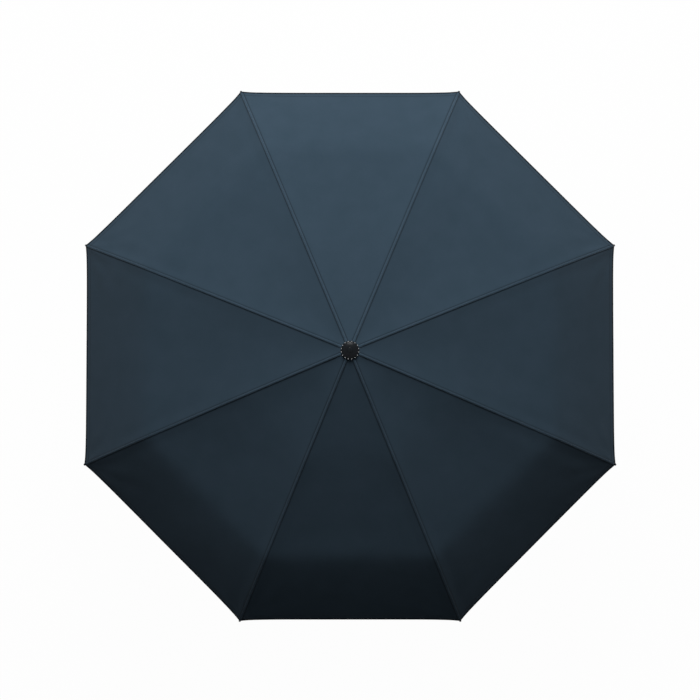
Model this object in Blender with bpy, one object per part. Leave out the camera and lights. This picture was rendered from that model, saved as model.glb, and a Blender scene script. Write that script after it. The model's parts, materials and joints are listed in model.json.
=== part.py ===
"""Folding umbrella with eight three-section ribs on a telescopic shaft, shown with its canopy open.

Metres, +Z up.  The origin is the centre of the handle's flat bottom, and the shaft runs up +Z.
Each rib lies in its own upright plane.  A plane's empty is turned about Z, so that its +X points
outwards along the rib and its +Y is the direction of every hinge pin in that plane.
A positive turn about +Y swings a rib down, towards the shaft.
"""

import math

import bmesh
import bpy
from mathutils import Matrix, Vector

# ---------------------------------------------------------------- clearances
GAP = 0.0003                     # between two faces that touch on the real object
PIN_PLAY = 0.0003                # radial play of an eye on its pin
STRIP_PLAY = 0.0003              # side play of a rib in its slot or fork

# ---------------------------------------------------------------- handle
HANDLE_LENGTH = 0.074
GRIP_RADIUS = 0.0150
GRIP_WAIST = 0.0010              # how far the grip narrows at half height
GRIP_WALL = 0.0037
GRIP_LIP = 0.0034                # thickness of the lip that covers the core's top
END_CAP_THICKNESS = 0.0040
END_CAP_SPIGOT = 0.0037
CORE_FLOOR = 0.0120              # solid plastic under the lower tube
COLLAR_RADIUS = 0.0078
COLLAR_RISE = 0.0006             # how far the collar stands out of the grip
BUTTON_RADIUS = 0.0055
BUTTON_HEIGHT = 0.0450
BUTTON_PROUD = 0.0016
BUTTON_LENGTH = 0.0055
BUTTON_TRAVEL = 0.0025
BUTTON_FLOOR_WALL = 0.0030       # core wall left between the lower tube and the button's pocket
BUTTON_SPRING_WIRE = 0.0003
BUTTON_SPRING_RADIUS = 0.0038
BUTTON_SPRING_TURNS = 3

# ---------------------------------------------------------------- shaft
UPPER_TUBE_RADIUS = 0.0070
TUBE_WALL = 0.0005
TUBE_PLAY = 0.0010               # radial room between one tube and the next
SLIDE_TRAVEL = 0.150             # of each of the two slides
LOWER_TUBE_RISE = 0.190          # above the handle
MID_TUBE_LENGTH = 0.190
BUSH_FLANGE = 0.0015
BUSH_SPIGOT = 0.0080
STOP_RING = 0.0030               # height of the ring that keeps a tube from pulling out
PARKED_LIFT = 0.0010             # tube ends above the handle when the shaft is collapsed
SPRING_WIRE = 0.0004
SPRING_PITCH = 0.024

# ---------------------------------------------------------------- notch, runner and top cap
PIVOT_RADIUS = 0.0115            # circle of the rib pivots, in the notch and in the runner
RING_WIRE = 0.0005               # radius of the wire that all eyes are threaded on
HUB_RADIUS = 0.0140
HUB_SLOT_FLOOR = 0.0093          # radius of the bottom of the rib slots
HUB_SKIRT = 0.0050               # hub below its pivots
HUB_BROW = 0.0024                # plate over the closed end of the slots
RUNNER_SKIRT = 0.0180
RUNNER_WALL = 0.0013
SLEEVE_WALL = 0.0014
SLEEVE_FLARE = 0.0012
RUNNER_PARKED_LIFT = 0.0030      # runner above the handle when the umbrella is closed
CAP_RADIUS = 0.0152
CAP_RIM = 0.0020
CAP_DOME = 0.0042
CAP_STUD = 0.0160                # length of the stud in the upper tube
CAP_NOTCHES = 16
CAP_NOTCH_RADIUS = 0.0011

# ---------------------------------------------------------------- ribs
RIB_COUNT = 8
FIRST_RIB = math.radians(22.5)
STRETCHER_LENGTH = 0.097         # also the distance from the notch pivot to the stretcher's pin
TOP_RIB_LENGTH = 0.185
MIDDLE_RIB_LENGTH = 0.190
OUTER_RIB_LENGTH = 0.152
TOP_SLOPE = math.radians(14.0)
MIDDLE_SLOPE = math.radians(17.0)
OUTER_SLOPE = math.radians(30.0)
OUTER_BEND = math.radians(8.0)  # further slope gained along the springy outer rib
ELBOW_OFFSET = 0.0028            # elbow pins off the rib's line, so that the sections fold flat
STRIP = 0.0016                   # thickness of tongues and stretchers
SHEET = 0.00045                  # sheet metal of the channels
PIN = 0.0006
RIVET_END = 0.0005               # how far a pin stands out of its outermost cheek
EYE = 0.0015                     # radius of the eyes on rivets
RING_EYE = 0.0018                # radius of the eyes on the ring wires
TONGUE_LENGTH = 0.0080
TOP_CHANNEL_DEPTH = 0.0013       # cheeks below the rib's line
MIDDLE_CHANNEL_DEPTH = 0.0012
MIDDLE_CHANNEL_RISE = 0.00135    # outside of the web above the rib's line
FORK_LENGTH = 0.0120
ROD_RADIUS = 0.0012
ROD_TIP_RADIUS = 0.0009
FITTING_LENGTH = 0.0110
TIP_SLEEVE = 0.0090
TIP_SLEEVE_RADIUS = 0.0015
TIP_BALL = 0.0021
LINK_ARM = 0.0100                # from the stretcher's pin to the control link's pin
CRANK = 0.0100                   # from the first elbow's pin to the control link's pin
LINK_THICKNESS = 0.0009
LINK_HALF_WIDTH = 0.0006
LINK_EYE = 0.0012
STRETCHER_HALF_WIDTH = 0.0009

# ---------------------------------------------------------------- canopy
CANOPY_THICKNESS = 0.0006
CLOTH_LIFT = 0.0012              # over a rib's ridge, so that the cloth clears the rib's sides
CANOPY_SAG = 0.005               # of each panel between its ribs
CANOPY_TIP_INSET = 0.005         # bare rib tip past the corner of the cloth
GORE_COLUMNS = 2

# ---------------------------------------------------------------- fineness of round shapes
TURN_SIDES = 24
RING_SIDES = 32
HOLE_SIDES = 8
PIN_SIDES = 6
WIRE_SIDES = 4

# ---------------------------------------------------------------- sizes that follow
MID_TUBE_RADIUS = UPPER_TUBE_RADIUS - TUBE_WALL - TUBE_PLAY
LOWER_TUBE_RADIUS = MID_TUBE_RADIUS - TUBE_WALL - TUBE_PLAY
CORE_RADIUS = GRIP_RADIUS - GRIP_WALL - GAP
CORE_TOP = HANDLE_LENGTH - GRIP_LIP - 2 * GAP
CORE_BOTTOM = END_CAP_THICKNESS + END_CAP_SPIGOT + GAP
BUTTON_FACE = GRIP_RADIUS + BUTTON_PROUD
BUTTON_BACK = BUTTON_FACE - BUTTON_LENGTH
POCKET_FLOOR = LOWER_TUBE_RADIUS + GAP + BUTTON_FLOOR_WALL
POCKET_RADIUS = BUTTON_RADIUS + GAP

FOLD = math.radians(90.0) - TOP_SLOPE
NOTCH_Z = (HANDLE_LENGTH + RUNNER_PARKED_LIFT + RUNNER_SKIRT + 2 * STRETCHER_LENGTH
           + 2 * SLIDE_TRAVEL)
RUNNER_Z = NOTCH_Z - 2 * STRETCHER_LENGTH * math.sin(TOP_SLOPE)
HUB_SLOT_END = RING_EYE + GAP
HUB_TOP = HUB_SLOT_END + HUB_BROW
GROOVE = RING_WIRE + GAP
SLOT_WIDTH = STRIP + 2 * STRIP_PLAY
RING_HOLE = RING_WIRE + PIN_PLAY
PIN_HOLE = PIN + PIN_PLAY
LINK_HOLE = PIN_HOLE / math.cos(math.pi / HOLE_SIDES)
TUBE_TOP = NOTCH_Z + HUB_TOP + CANOPY_THICKNESS + 2 * GAP
CAP_UNDERSIDE = TUBE_TOP + GAP
STUD_RADIUS = UPPER_TUBE_RADIUS - TUBE_WALL - GAP

TOP_INSIDE = STRIP / 2 + STRIP_PLAY + 0.00015     # half the room between the top rib's cheeks
TOP_OUTSIDE = TOP_INSIDE + SHEET
TOP_WEB = EYE + GAP                               # underside of the top rib's web
MIDDLE_INSIDE = TOP_OUTSIDE + STRIP_PLAY
MIDDLE_OUTSIDE = MIDDLE_INSIDE + SHEET
LINK_PLANE = MIDDLE_OUTSIDE + RIVET_END + STRIP_PLAY + LINK_THICKNESS / 2
LINK_PIN_END = LINK_PLANE + LINK_THICKNESS / 2 + GAP
OUTER_TONGUE = 0.0020                             # thickness of the outer rib's flat end

CLOTH_OVER_ELBOW = ELBOW_OFFSET + EYE + CLOTH_LIFT
CLOTH_OVER_HINGE = MIDDLE_CHANNEL_RISE + CLOTH_LIFT
CLOTH_OVER_ROD = TIP_SLEEVE_RADIUS + CLOTH_LIFT


# ================================================================ tools

def clear_scene():
    for old in list(bpy.data.objects):
        bpy.data.objects.remove(old, do_unlink=True)


def material(name, color, roughness, metallic):
    mat = bpy.data.materials.new(name)
    mat.use_nodes = True
    shader = mat.node_tree.nodes["Principled BSDF"]
    shader.inputs["Base Color"].default_value = (*color, 1.0)
    shader.inputs["Roughness"].default_value = roughness
    shader.inputs["Metallic"].default_value = metallic
    mat.diffuse_color = (*color, 1.0)
    return mat


def to_mesh(bm, name):
    bmesh.ops.recalc_face_normals(bm, faces=bm.faces)
    mesh = bpy.data.meshes.new(name)
    bm.to_mesh(mesh)
    bm.free()
    return mesh


def place(name, mesh, mat, location=(0, 0, 0), turn=0.0, parent=None, smooth=True):
    """Put a mesh in the scene as one named sub-part, turned about its parent's Y."""
    obj = bpy.data.objects.new(name, mesh)
    bpy.context.scene.collection.objects.link(obj)
    obj.location = location
    obj.rotation_euler = (0.0, turn, 0.0)
    obj.parent = parent
    if not mesh.materials:
        mesh.materials.append(mat)
    if smooth:
        mesh.shade_smooth()
        mesh.set_sharp_from_angle(angle=math.radians(35))
    return obj


def empty(name, location=(0, 0, 0), heading=0.0, parent=None):
    obj = bpy.data.objects.new(name, None)
    bpy.context.scene.collection.objects.link(obj)
    obj.location = location
    obj.rotation_euler = (0.0, 0.0, heading)
    obj.parent = parent
    return obj


def box(x0, x1, y0, y1, z0, z1):
    bm = bmesh.new()
    bmesh.ops.create_cube(bm, size=1.0)
    bmesh.ops.scale(bm, vec=(x1 - x0, y1 - y0, z1 - z0), verts=bm.verts)
    bmesh.ops.translate(bm, vec=((x0 + x1) / 2, (y0 + y1) / 2, (z0 + z1) / 2), verts=bm.verts)
    return to_mesh(bm, "box")


def pin(x, z, radius, y0, y1, sides=HOLE_SIDES):
    """A round bar along Y, standing at (x, z)."""
    bm = bmesh.new()
    bmesh.ops.create_cone(bm, cap_ends=True, segments=sides, radius1=radius, radius2=radius,
                          depth=y1 - y0)
    bmesh.ops.rotate(bm, matrix=Matrix.Rotation(math.pi / sides, 3, "Z"), verts=bm.verts)
    bmesh.ops.rotate(bm, matrix=Matrix.Rotation(math.pi / 2, 3, "X"), verts=bm.verts)
    bmesh.ops.translate(bm, vec=(x, (y0 + y1) / 2, z), verts=bm.verts)
    return to_mesh(bm, "pin")


def plate(outline, y0, y1):
    """A flat plate whose outline is drawn in XZ, from y0 to y1."""
    bm = bmesh.new()
    face = bm.faces.new([bm.verts.new((x, y0, z)) for x, z in outline])
    lifted = bmesh.ops.extrude_face_region(bm, geom=[face])["geom"]
    moved = [v for v in lifted if isinstance(v, bmesh.types.BMVert)]
    bmesh.ops.translate(bm, vec=(0, y1 - y0, 0), verts=moved)
    return to_mesh(bm, "plate")


def capsule(x0, z0, x1, z1, radius, y0, y1):
    """A flat bar with round ends, between two points in XZ."""
    heading = math.atan2(z1 - z0, x1 - x0)
    steps = HOLE_SIDES // 2
    outline = []
    for x, z, start in ((x1, z1, -math.pi / 2), (x0, z0, math.pi / 2)):
        for i in range(steps + 1):
            a = heading + start + math.pi * i / steps
            outline.append((x + radius * math.cos(a), z + radius * math.sin(a)))
    return plate(outline, y0, y1)


def turned(profile, sides=TURN_SIDES):
    """A closed profile of (radius, height) points, turned about Z."""
    bm = bmesh.new()
    verts = [bm.verts.new((r, 0.0, z)) for r, z in profile]
    edges = [bm.edges.new((verts[i], verts[(i + 1) % len(verts)])) for i in range(len(verts))]
    on_axis = [e for e in edges if all(v.co.x == 0.0 for v in e.verts)]
    if on_axis:
        bmesh.ops.delete(bm, geom=on_axis, context="EDGES_FACES")
    bmesh.ops.spin(bm, geom=bm.verts[:] + bm.edges[:], cent=(0, 0, 0), axis=(0, 0, 1),
                   angle=2 * math.pi, steps=sides, use_merge=True)
    bmesh.ops.remove_doubles(bm, verts=bm.verts, dist=1e-6)
    return to_mesh(bm, "turned")


def ring(radius, wire):
    """A closed round wire in the XY plane."""
    section = [(radius + wire * math.cos(a), wire * math.sin(a))
               for a in (2 * math.pi * i / PIN_SIDES for i in range(PIN_SIDES))]
    return turned(section, RING_SIDES)


def swept(path, radii, sides, up):
    """A round bar along a path.  Its sections keep one corner towards the direction up."""
    bm = bmesh.new()
    loops = []
    for i, point in enumerate(path):
        ahead = path[min(i + 1, len(path) - 1)] - path[max(i - 1, 0)]
        side = ahead.cross(up(i)).normalized()
        top = side.cross(ahead).normalized()
        loop = []
        for k in range(sides):
            a = 2 * math.pi * k / sides
            loop.append(bm.verts.new(point + radii[i] * (math.cos(a) * top + math.sin(a) * side)))
        loops.append(loop)
    for a, b in zip(loops, loops[1:]):
        for k in range(sides):
            n = (k + 1) % sides
            bm.faces.new((a[k], a[n], b[n], b[k]))
    bm.faces.new(loops[0])
    bm.faces.new(loops[-1])
    return to_mesh(bm, "swept")


def moved(mesh, matrix):
    mesh.transform(matrix)
    return mesh


def joined(first, adds=(), cuts=()):
    """One solid: the first mesh, with the others added and the cutters taken away."""
    base = bpy.data.objects.new("base", first)
    bpy.context.scene.collection.objects.link(base)
    tools = []
    for operation, meshes in (("UNION", adds), ("DIFFERENCE", cuts)):
        for mesh in meshes:
            tool = bpy.data.objects.new("tool", mesh)
            bpy.context.scene.collection.objects.link(tool)
            tools.append(tool)
            mod = base.modifiers.new(operation, "BOOLEAN")
            mod.operation = operation
            mod.solver = "EXACT"
            mod.object = tool
    graph = bpy.context.evaluated_depsgraph_get()
    result = bpy.data.meshes.new_from_object(base.evaluated_get(graph))
    for tool in tools + [base]:
        bpy.data.objects.remove(tool, do_unlink=True)
    bm = bmesh.new()
    bm.from_mesh(result)
    bmesh.ops.remove_doubles(bm, verts=bm.verts, dist=1e-6)
    bmesh.ops.dissolve_limit(bm, angle_limit=math.radians(0.5), verts=bm.verts, edges=bm.edges)
    bmesh.ops.triangulate(bm, faces=bm.faces)
    bm.to_mesh(result)
    bm.free()
    return result


# ================================================================ how the rib folds

def polar(length, angle):
    return Vector((length * math.cos(angle), length * math.sin(angle)))


def stretcher_heading(fold):
    """Direction of the stretcher from its pin, in the top rib's frame."""
    return math.pi + 2 * (TOP_SLOPE + fold)


MIDDLE_TURN = math.pi + MIDDLE_SLOPE - TOP_SLOPE
OUTER_TURN = math.pi / 2 + MIDDLE_SLOPE + (math.pi / 2 - OUTER_SLOPE - OUTER_BEND / 2)


def link_ends(fold, crank_angle):
    """Where the control link's two pins are, in the top rib's frame."""
    inner = Vector((STRETCHER_LENGTH, 0.0)) + polar(LINK_ARM, stretcher_heading(fold))
    turn = TOP_SLOPE - MIDDLE_SLOPE + MIDDLE_TURN * fold / FOLD
    outer = Vector((TOP_RIB_LENGTH, ELBOW_OFFSET)) + polar(CRANK, crank_angle + turn)
    return inner, outer


def link_stretch(crank_angle):
    """How much further apart the link's pins are closed than open."""
    inner0, outer0 = link_ends(0.0, crank_angle)
    inner1, outer1 = link_ends(FOLD, crank_angle)
    return (outer1 - inner1).length - (outer0 - inner0).length


def solve_crank():
    """The crank's angle for which one rigid link fits both the open and the closed rib."""
    low = math.radians(190)
    high = math.radians(215)
    for _ in range(50):
        middle = (low + high) / 2
        if (link_stretch(low) > 0) == (link_stretch(middle) > 0):
            low = middle
        else:
            high = middle
    return (low + high) / 2


CRANK_ANGLE = solve_crank()


def link_heading(fold):
    inner, outer = link_ends(fold, CRANK_ANGLE)
    return math.atan2(outer.y - inner.y, outer.x - inner.x)


def link_length():
    inner, outer = link_ends(0.0, CRANK_ANGLE)
    return (outer - inner).length


def link_ratio():
    """Turn of the link about its pin on the stretcher, for each unit of fold, about +Y."""
    link_turn = link_heading(FOLD) - link_heading(0.0)
    stretcher_turn = stretcher_heading(FOLD) - stretcher_heading(0.0)
    return -(link_turn - stretcher_turn) / FOLD


RATIOS = {
    "stretcher": -2.0,
    "middle_rib": -MIDDLE_TURN / FOLD,
    "outer_rib": OUTER_TURN / FOLD,
    "link": link_ratio(),
    "runner": 1.0,
}


# ================================================================ rib sections, each in its own frame
# The frame's origin is the section's hinge, +X runs along the section and +Z is the cloth's side.

def cheek_outline(start, low, high, length, pin_height, end):
    """Side of a channel with an ear about its pin, at (length, pin_height), at its far end."""
    side = 1 if pin_height > 0 else -1
    steps = HOLE_SIDES // 2
    ear = [(length + EYE * math.cos(math.pi * i / steps),
            pin_height + side * EYE * math.sin(math.pi * i / steps)) for i in range(steps + 1)]
    near, far = (high, low) if side > 0 else (low, high)
    return [(start, far), (end, far)] + ear + [(length - 3 * EYE, near), (start, near)]


def top_rib_mesh():
    length = TOP_RIB_LENGTH
    low = -TOP_CHANNEL_DEPTH
    high = TOP_WEB + SHEET
    cheek = cheek_outline(TONGUE_LENGTH, low, high, length, ELBOW_OFFSET, length + EYE)
    far_cheek = plate(cheek, -TOP_OUTSIDE, -TOP_INSIDE)
    near_cheek = plate(cheek, TOP_INSIDE, TOP_OUTSIDE)
    half_web = TOP_INSIDE + SHEET / 2
    web = box(TONGUE_LENGTH, length - FORK_LENGTH, -half_web, half_web, TOP_WEB, high)
    tongue = capsule(0, 0, TONGUE_LENGTH * 1.5, 0, RING_EYE, -STRIP / 2, STRIP / 2)
    neck = box(TONGUE_LENGTH * 1.1, TONGUE_LENGTH * 1.7, -STRIP / 2, STRIP / 2, low,
               TOP_WEB + SHEET / 2)
    short = TOP_OUTSIDE + RIVET_END
    long = MIDDLE_OUTSIDE + RIVET_END
    pins = [pin(STRETCHER_LENGTH, 0, PIN, -short, short, PIN_SIDES),
            pin(length, ELBOW_OFFSET, PIN, -long, long, PIN_SIDES)]
    eye_hole = pin(0, 0, RING_HOLE, -STRIP, STRIP)
    slot = box(STRETCHER_LENGTH + LINK_ARM - PIN - 2 * PIN_PLAY,
               STRETCHER_LENGTH + LINK_ARM + PIN + 2 * PIN_PLAY,
               0, TOP_OUTSIDE * 2, low * 2, PIN + PIN_PLAY)
    return joined(far_cheek, adds=[web, near_cheek, tongue, neck] + pins, cuts=[eye_hole, slot])


def eyed_bar(length, half_width, near_eye, far_eye, y0, y1):
    """A flat bar along +X with a round eye about each end."""
    outline = []
    for x, radius, start in ((length, far_eye, -math.pi), (0.0, near_eye, 0.0)):
        shoulder = math.asin(half_width / radius)
        for i in range(HOLE_SIDES + 1):
            a = start + shoulder + 2 * (math.pi - shoulder) * i / HOLE_SIDES
            outline.append((x + radius * math.cos(a), radius * math.sin(a)))
    return plate(outline, y0, y1)


def stretcher_mesh():
    """The frame's +X points from the top rib's pin to the runner."""
    length = STRETCHER_LENGTH
    half = STRIP / 2
    bar = eyed_bar(length, STRETCHER_HALF_WIDTH, EYE, RING_EYE, -half, half)
    stub = pin(LINK_ARM, 0, PIN, 0, LINK_PIN_END, PIN_SIDES)
    holes = [pin(0, 0, PIN_HOLE, -STRIP, STRIP), pin(length, 0, RING_HOLE, -STRIP, STRIP)]
    return joined(bar, adds=[stub], cuts=holes)


def link_mesh():
    length = link_length()
    y0 = LINK_PLANE - LINK_THICKNESS / 2
    y1 = LINK_PLANE + LINK_THICKNESS / 2
    bar = eyed_bar(length, LINK_HALF_WIDTH, LINK_EYE, LINK_EYE, y0, y1)
    holes = [pin(x, 0, LINK_HOLE, y0 - STRIP, y1 + STRIP, PIN_SIDES) for x in (0, length)]
    return joined(bar, cuts=holes)


def middle_rib_mesh():
    length = MIDDLE_RIB_LENGTH
    line = -ELBOW_OFFSET
    low = line - MIDDLE_CHANNEL_DEPTH
    high = line + MIDDLE_CHANNEL_RISE
    steps = HOLE_SIDES // 2
    fork = [(EYE * math.cos(a), EYE * math.sin(a))
            for a in (math.pi * 1.25 - math.pi * i / steps for i in range(steps + 1))]
    cheek = cheek_outline(FORK_LENGTH, low, high, length, line - ELBOW_OFFSET, length + EYE)
    cheek += [(EYE, low)] + fork
    far_cheek = plate(cheek, -MIDDLE_OUTSIDE, -MIDDLE_INSIDE)
    near_cheek = plate(cheek, MIDDLE_INSIDE, MIDDLE_OUTSIDE)
    half_web = MIDDLE_INSIDE + SHEET / 2
    web = box(FORK_LENGTH, length - FORK_LENGTH / 2, -half_web, half_web, high - SHEET, high)
    pin_point = polar(CRANK, CRANK_ANGLE)
    crank = capsule(0, 0, pin_point.x, pin_point.y, EYE * 0.8, MIDDLE_INSIDE + SHEET * 0.1,
                    MIDDLE_OUTSIDE - SHEET * 0.1)
    end = MIDDLE_OUTSIDE + RIVET_END
    stub = pin(pin_point.x, pin_point.y, PIN, MIDDLE_INSIDE + SHEET / 2, end, PIN_SIDES)
    elbow = pin(length, line - ELBOW_OFFSET, PIN, -end, end, PIN_SIDES)
    hole = pin(0, 0, PIN_HOLE, -MIDDLE_OUTSIDE * 2, MIDDLE_OUTSIDE * 2)
    return joined(far_cheek, adds=[web, near_cheek, crank, stub, elbow], cuts=[hole])


def outer_curve(distance):
    """A point and the heading on the outer rib's line, in the outer rib's frame."""
    radius = OUTER_RIB_LENGTH / OUTER_BEND
    angle = distance / radius
    point = Vector((radius * math.sin(angle), 0.0, ELBOW_OFFSET - radius * (1 - math.cos(angle))))
    return point, -angle


def outer_rib_mesh():
    half = OUTER_TONGUE / 2
    tongue = capsule(0, 0, FITTING_LENGTH * 0.25, ELBOW_OFFSET, EYE, -half, half)
    fitting = capsule(FITTING_LENGTH * 0.25, ELBOW_OFFSET, FITTING_LENGTH, ELBOW_OFFSET * 0.97,
                      EYE, -half, half)
    steps = 5
    start = FITTING_LENGTH * 0.5
    end = OUTER_RIB_LENGTH - TIP_BALL
    stations = [start + (end - TIP_SLEEVE - start) * i / steps for i in range(steps + 1)]
    path = [outer_curve(s)[0] for s in stations]
    radii = [ROD_RADIUS + (ROD_TIP_RADIUS - ROD_RADIUS) * i / steps for i in range(steps + 1)]
    sleeve_start = end - TIP_SLEEVE
    sleeve = ((0.0, TIP_SLEEVE_RADIUS), (0.7, TIP_SLEEVE_RADIUS * 0.85), (0.78, TIP_BALL * 0.75),
              (0.9, TIP_BALL), (1.0, TIP_BALL * 0.9), (1.12, TIP_BALL * 0.35))
    for share, radius in sleeve:
        path.append(outer_curve(sleeve_start + TIP_SLEEVE * share + GAP)[0])
        radii.append(radius)
    rod = swept(path, radii, 6, lambda i: Vector((0, 0, 1)))
    hole = pin(0, 0, PIN_HOLE, -STRIP * 2, STRIP * 2)
    return joined(tongue, adds=[fitting, rod], cuts=[hole])


# ================================================================ handle

def add_handle(mats, root):
    lip = HANDLE_LENGTH - GRIP_LIP
    bottom = END_CAP_THICKNESS + GAP
    mid_height = (bottom + HANDLE_LENGTH) / 2
    inner = GRIP_RADIUS - GRIP_WALL
    outer = []
    steps = 8
    for i in range(steps + 1):
        share = i / steps
        z = bottom + (HANDLE_LENGTH - bottom) * share
        narrow = GRIP_WAIST * math.sin(math.pi * share) ** 2
        outer.append((GRIP_RADIUS - narrow, z))
    outer[-1] = (GRIP_RADIUS - GRIP_WAIST, HANDLE_LENGTH)
    outer.insert(-1, (GRIP_RADIUS, HANDLE_LENGTH - GRIP_WAIST))
    profile = outer + [(COLLAR_RADIUS + GAP, HANDLE_LENGTH), (COLLAR_RADIUS + GAP, lip),
                       (inner, lip), (inner, bottom)]
    window = turned_along_y(POCKET_RADIUS, POCKET_FLOOR, GRIP_RADIUS * 2, BUTTON_HEIGHT)
    grip = joined(turned(profile), cuts=[window])
    place("handle_grip", grip, mats["rubber"], parent=root)

    bore = LOWER_TUBE_RADIUS + GAP
    floor = CORE_BOTTOM + CORE_FLOOR
    core = turned([(0, CORE_BOTTOM), (CORE_RADIUS, CORE_BOTTOM), (CORE_RADIUS, CORE_TOP),
                   (bore, CORE_TOP), (bore, floor), (0, floor)])
    pocket = turned_along_y(POCKET_RADIUS, POCKET_FLOOR, GRIP_RADIUS * 2, BUTTON_HEIGHT)
    place("handle_core", joined(core, cuts=[pocket]), mats["plastic"], parent=root)

    edge = GRIP_RADIUS - GRIP_WAIST
    cap = turned([(0, 0), (edge, 0), (GRIP_RADIUS, GRIP_WAIST), (GRIP_RADIUS, END_CAP_THICKNESS),
                  (CORE_RADIUS, END_CAP_THICKNESS), (CORE_RADIUS, CORE_BOTTOM - GAP),
                  (0, CORE_BOTTOM - GAP)])
    place("handle_end_cap", cap, mats["gloss"], parent=root)

    collar_top = HANDLE_LENGTH + COLLAR_RISE
    collar = turned([(bore, CORE_TOP + GAP), (COLLAR_RADIUS, CORE_TOP + GAP),
                     (COLLAR_RADIUS, collar_top - GAP), (COLLAR_RADIUS - GAP, collar_top),
                     (bore, collar_top)])
    place("handle_collar", collar, mats["chrome"], parent=root)

    round_edge = 0.0008
    button = turned([(0, 0), (BUTTON_RADIUS - round_edge, 0), (BUTTON_RADIUS, round_edge),
                     (BUTTON_RADIUS, BUTTON_LENGTH), (0, BUTTON_LENGTH)], 20)
    slide = empty("push_button_slide", (0, -BUTTON_FACE, BUTTON_HEIGHT), parent=root)
    moved(button, Matrix.Rotation(-math.pi / 2, 4, "X"))
    place("push_button", button, mats["gloss"], parent=slide)

    low = POCKET_FLOOR + GAP + BUTTON_SPRING_WIRE
    high = BUTTON_BACK - GAP - BUTTON_SPRING_WIRE
    coil = helix(BUTTON_SPRING_RADIUS, BUTTON_SPRING_WIRE, low, high, BUTTON_SPRING_TURNS, 12)
    moved(coil, Matrix.Rotation(math.pi / 2, 4, "X"))
    place("button_spring", coil, mats["steel"], (0, 0, BUTTON_HEIGHT), parent=root)


def turned_along_y(radius, near, far, height):
    """A round cutter that enters the handle from -Y."""
    return pin(0, height, radius, -far, -near, 20)


def helix(radius, wire, low, high, turns, steps_per_turn):
    """A round wire wound about Z, from one height to another."""
    count = int(turns * steps_per_turn)
    path = []
    for i in range(count + 1):
        a = 2 * math.pi * i / steps_per_turn
        z = low + (high - low) * i / count
        path.append(Vector((radius * math.cos(a), radius * math.sin(a), z)))
    return swept(path, [wire] * len(path), WIRE_SIDES, lambda i: Vector((0, 0, 1)))


# ================================================================ shaft

def tube_mesh(radius, bottom, top, stop_radius):
    """A thin tube; its top end carries a ring that keeps it inside the next tube."""
    bore = radius - TUBE_WALL
    profile = [(bore, bottom), (radius, bottom)]
    if stop_radius:
        profile += [(radius, top - STOP_RING), (stop_radius, top - STOP_RING + TUBE_WALL),
                    (stop_radius, top)]
    else:
        profile += [(radius, top)]
    return turned(profile + [(bore, top)], 24)


def bush_mesh(tube_radius, bottom, inner_tube_radius):
    """A bush in the mouth of a tube, which guides the thinner tube inside it."""
    bore = inner_tube_radius + GAP
    spigot = tube_radius - TUBE_WALL - GAP
    shoulder = bottom + BUSH_FLANGE
    return turned([(bore, bottom), (tube_radius, bottom), (tube_radius, shoulder),
                   (spigot, shoulder), (spigot, shoulder + BUSH_SPIGOT),
                   (bore, shoulder + BUSH_SPIGOT)], 24)


def add_shaft(mats, root, mid, crown):
    """Lower tube on the handle, middle tube on its own slide, upper tube on the crown."""
    socket = CORE_BOTTOM + CORE_FLOOR + GAP
    lower_stop = MID_TUBE_RADIUS - TUBE_WALL - GAP
    lower_top = HANDLE_LENGTH + LOWER_TUBE_RISE
    lower = tube_mesh(LOWER_TUBE_RADIUS, socket, lower_top, lower_stop)
    place("lower_tube", lower, mats["chrome"], parent=root)

    mid_bottom = HANDLE_LENGTH + COLLAR_RISE + PARKED_LIFT + SLIDE_TRAVEL
    mid_top = mid_bottom + MID_TUBE_LENGTH
    mid_stop = UPPER_TUBE_RADIUS - TUBE_WALL - GAP
    tube = tube_mesh(MID_TUBE_RADIUS, mid_bottom + BUSH_FLANGE + GAP, mid_top, mid_stop)
    sink = Matrix.Translation((0, 0, -mid_bottom))
    place("mid_tube", moved(tube, sink), mats["chrome"], parent=mid)
    bush = bush_mesh(MID_TUBE_RADIUS, mid_bottom, LOWER_TUBE_RADIUS)
    place("mid_tube_bush", moved(bush, sink), mats["plastic"], parent=mid)

    upper_bottom = mid_bottom + SLIDE_TRAVEL
    sink = Matrix.Translation((0, 0, -NOTCH_Z))
    tube = tube_mesh(UPPER_TUBE_RADIUS, upper_bottom + BUSH_FLANGE + GAP, TUBE_TOP, None)
    place("upper_tube", moved(tube, sink), mats["chrome"], parent=crown)
    bush = bush_mesh(UPPER_TUBE_RADIUS, upper_bottom, MID_TUBE_RADIUS)
    place("upper_tube_bush", moved(bush, sink), mats["plastic"], parent=crown)

    low = socket + SPRING_WIRE
    high = CAP_UNDERSIDE - CAP_STUD - GAP - SPRING_WIRE
    turns = round((high - low) / SPRING_PITCH)
    coil = helix(LOWER_TUBE_RADIUS - TUBE_WALL - TUBE_PLAY / 2 - SPRING_WIRE, SPRING_WIRE, low,
                 high, turns, 6)
    place("main_spring", coil, mats["steel"], parent=root)


# ================================================================ crown and runner

def hub_cuts(slot_bottom, slot_top):
    """The ring wire's groove and the rib slots, about a hub whose pivots are at height 0."""
    deep = HUB_RADIUS * 2
    groove = turned([(PIVOT_RADIUS - GROOVE, -GROOVE), (deep, -GROOVE), (deep, GROOVE),
                     (PIVOT_RADIUS - GROOVE, GROOVE)])
    cuts = [groove]
    for k in range(RIB_COUNT):
        slot = box(HUB_SLOT_FLOOR, deep, -SLOT_WIDTH / 2, SLOT_WIDTH / 2, slot_bottom, slot_top)
        cuts.append(moved(slot, Matrix.Rotation(rib_heading(k), 4, "Z")))
    return cuts


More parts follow.
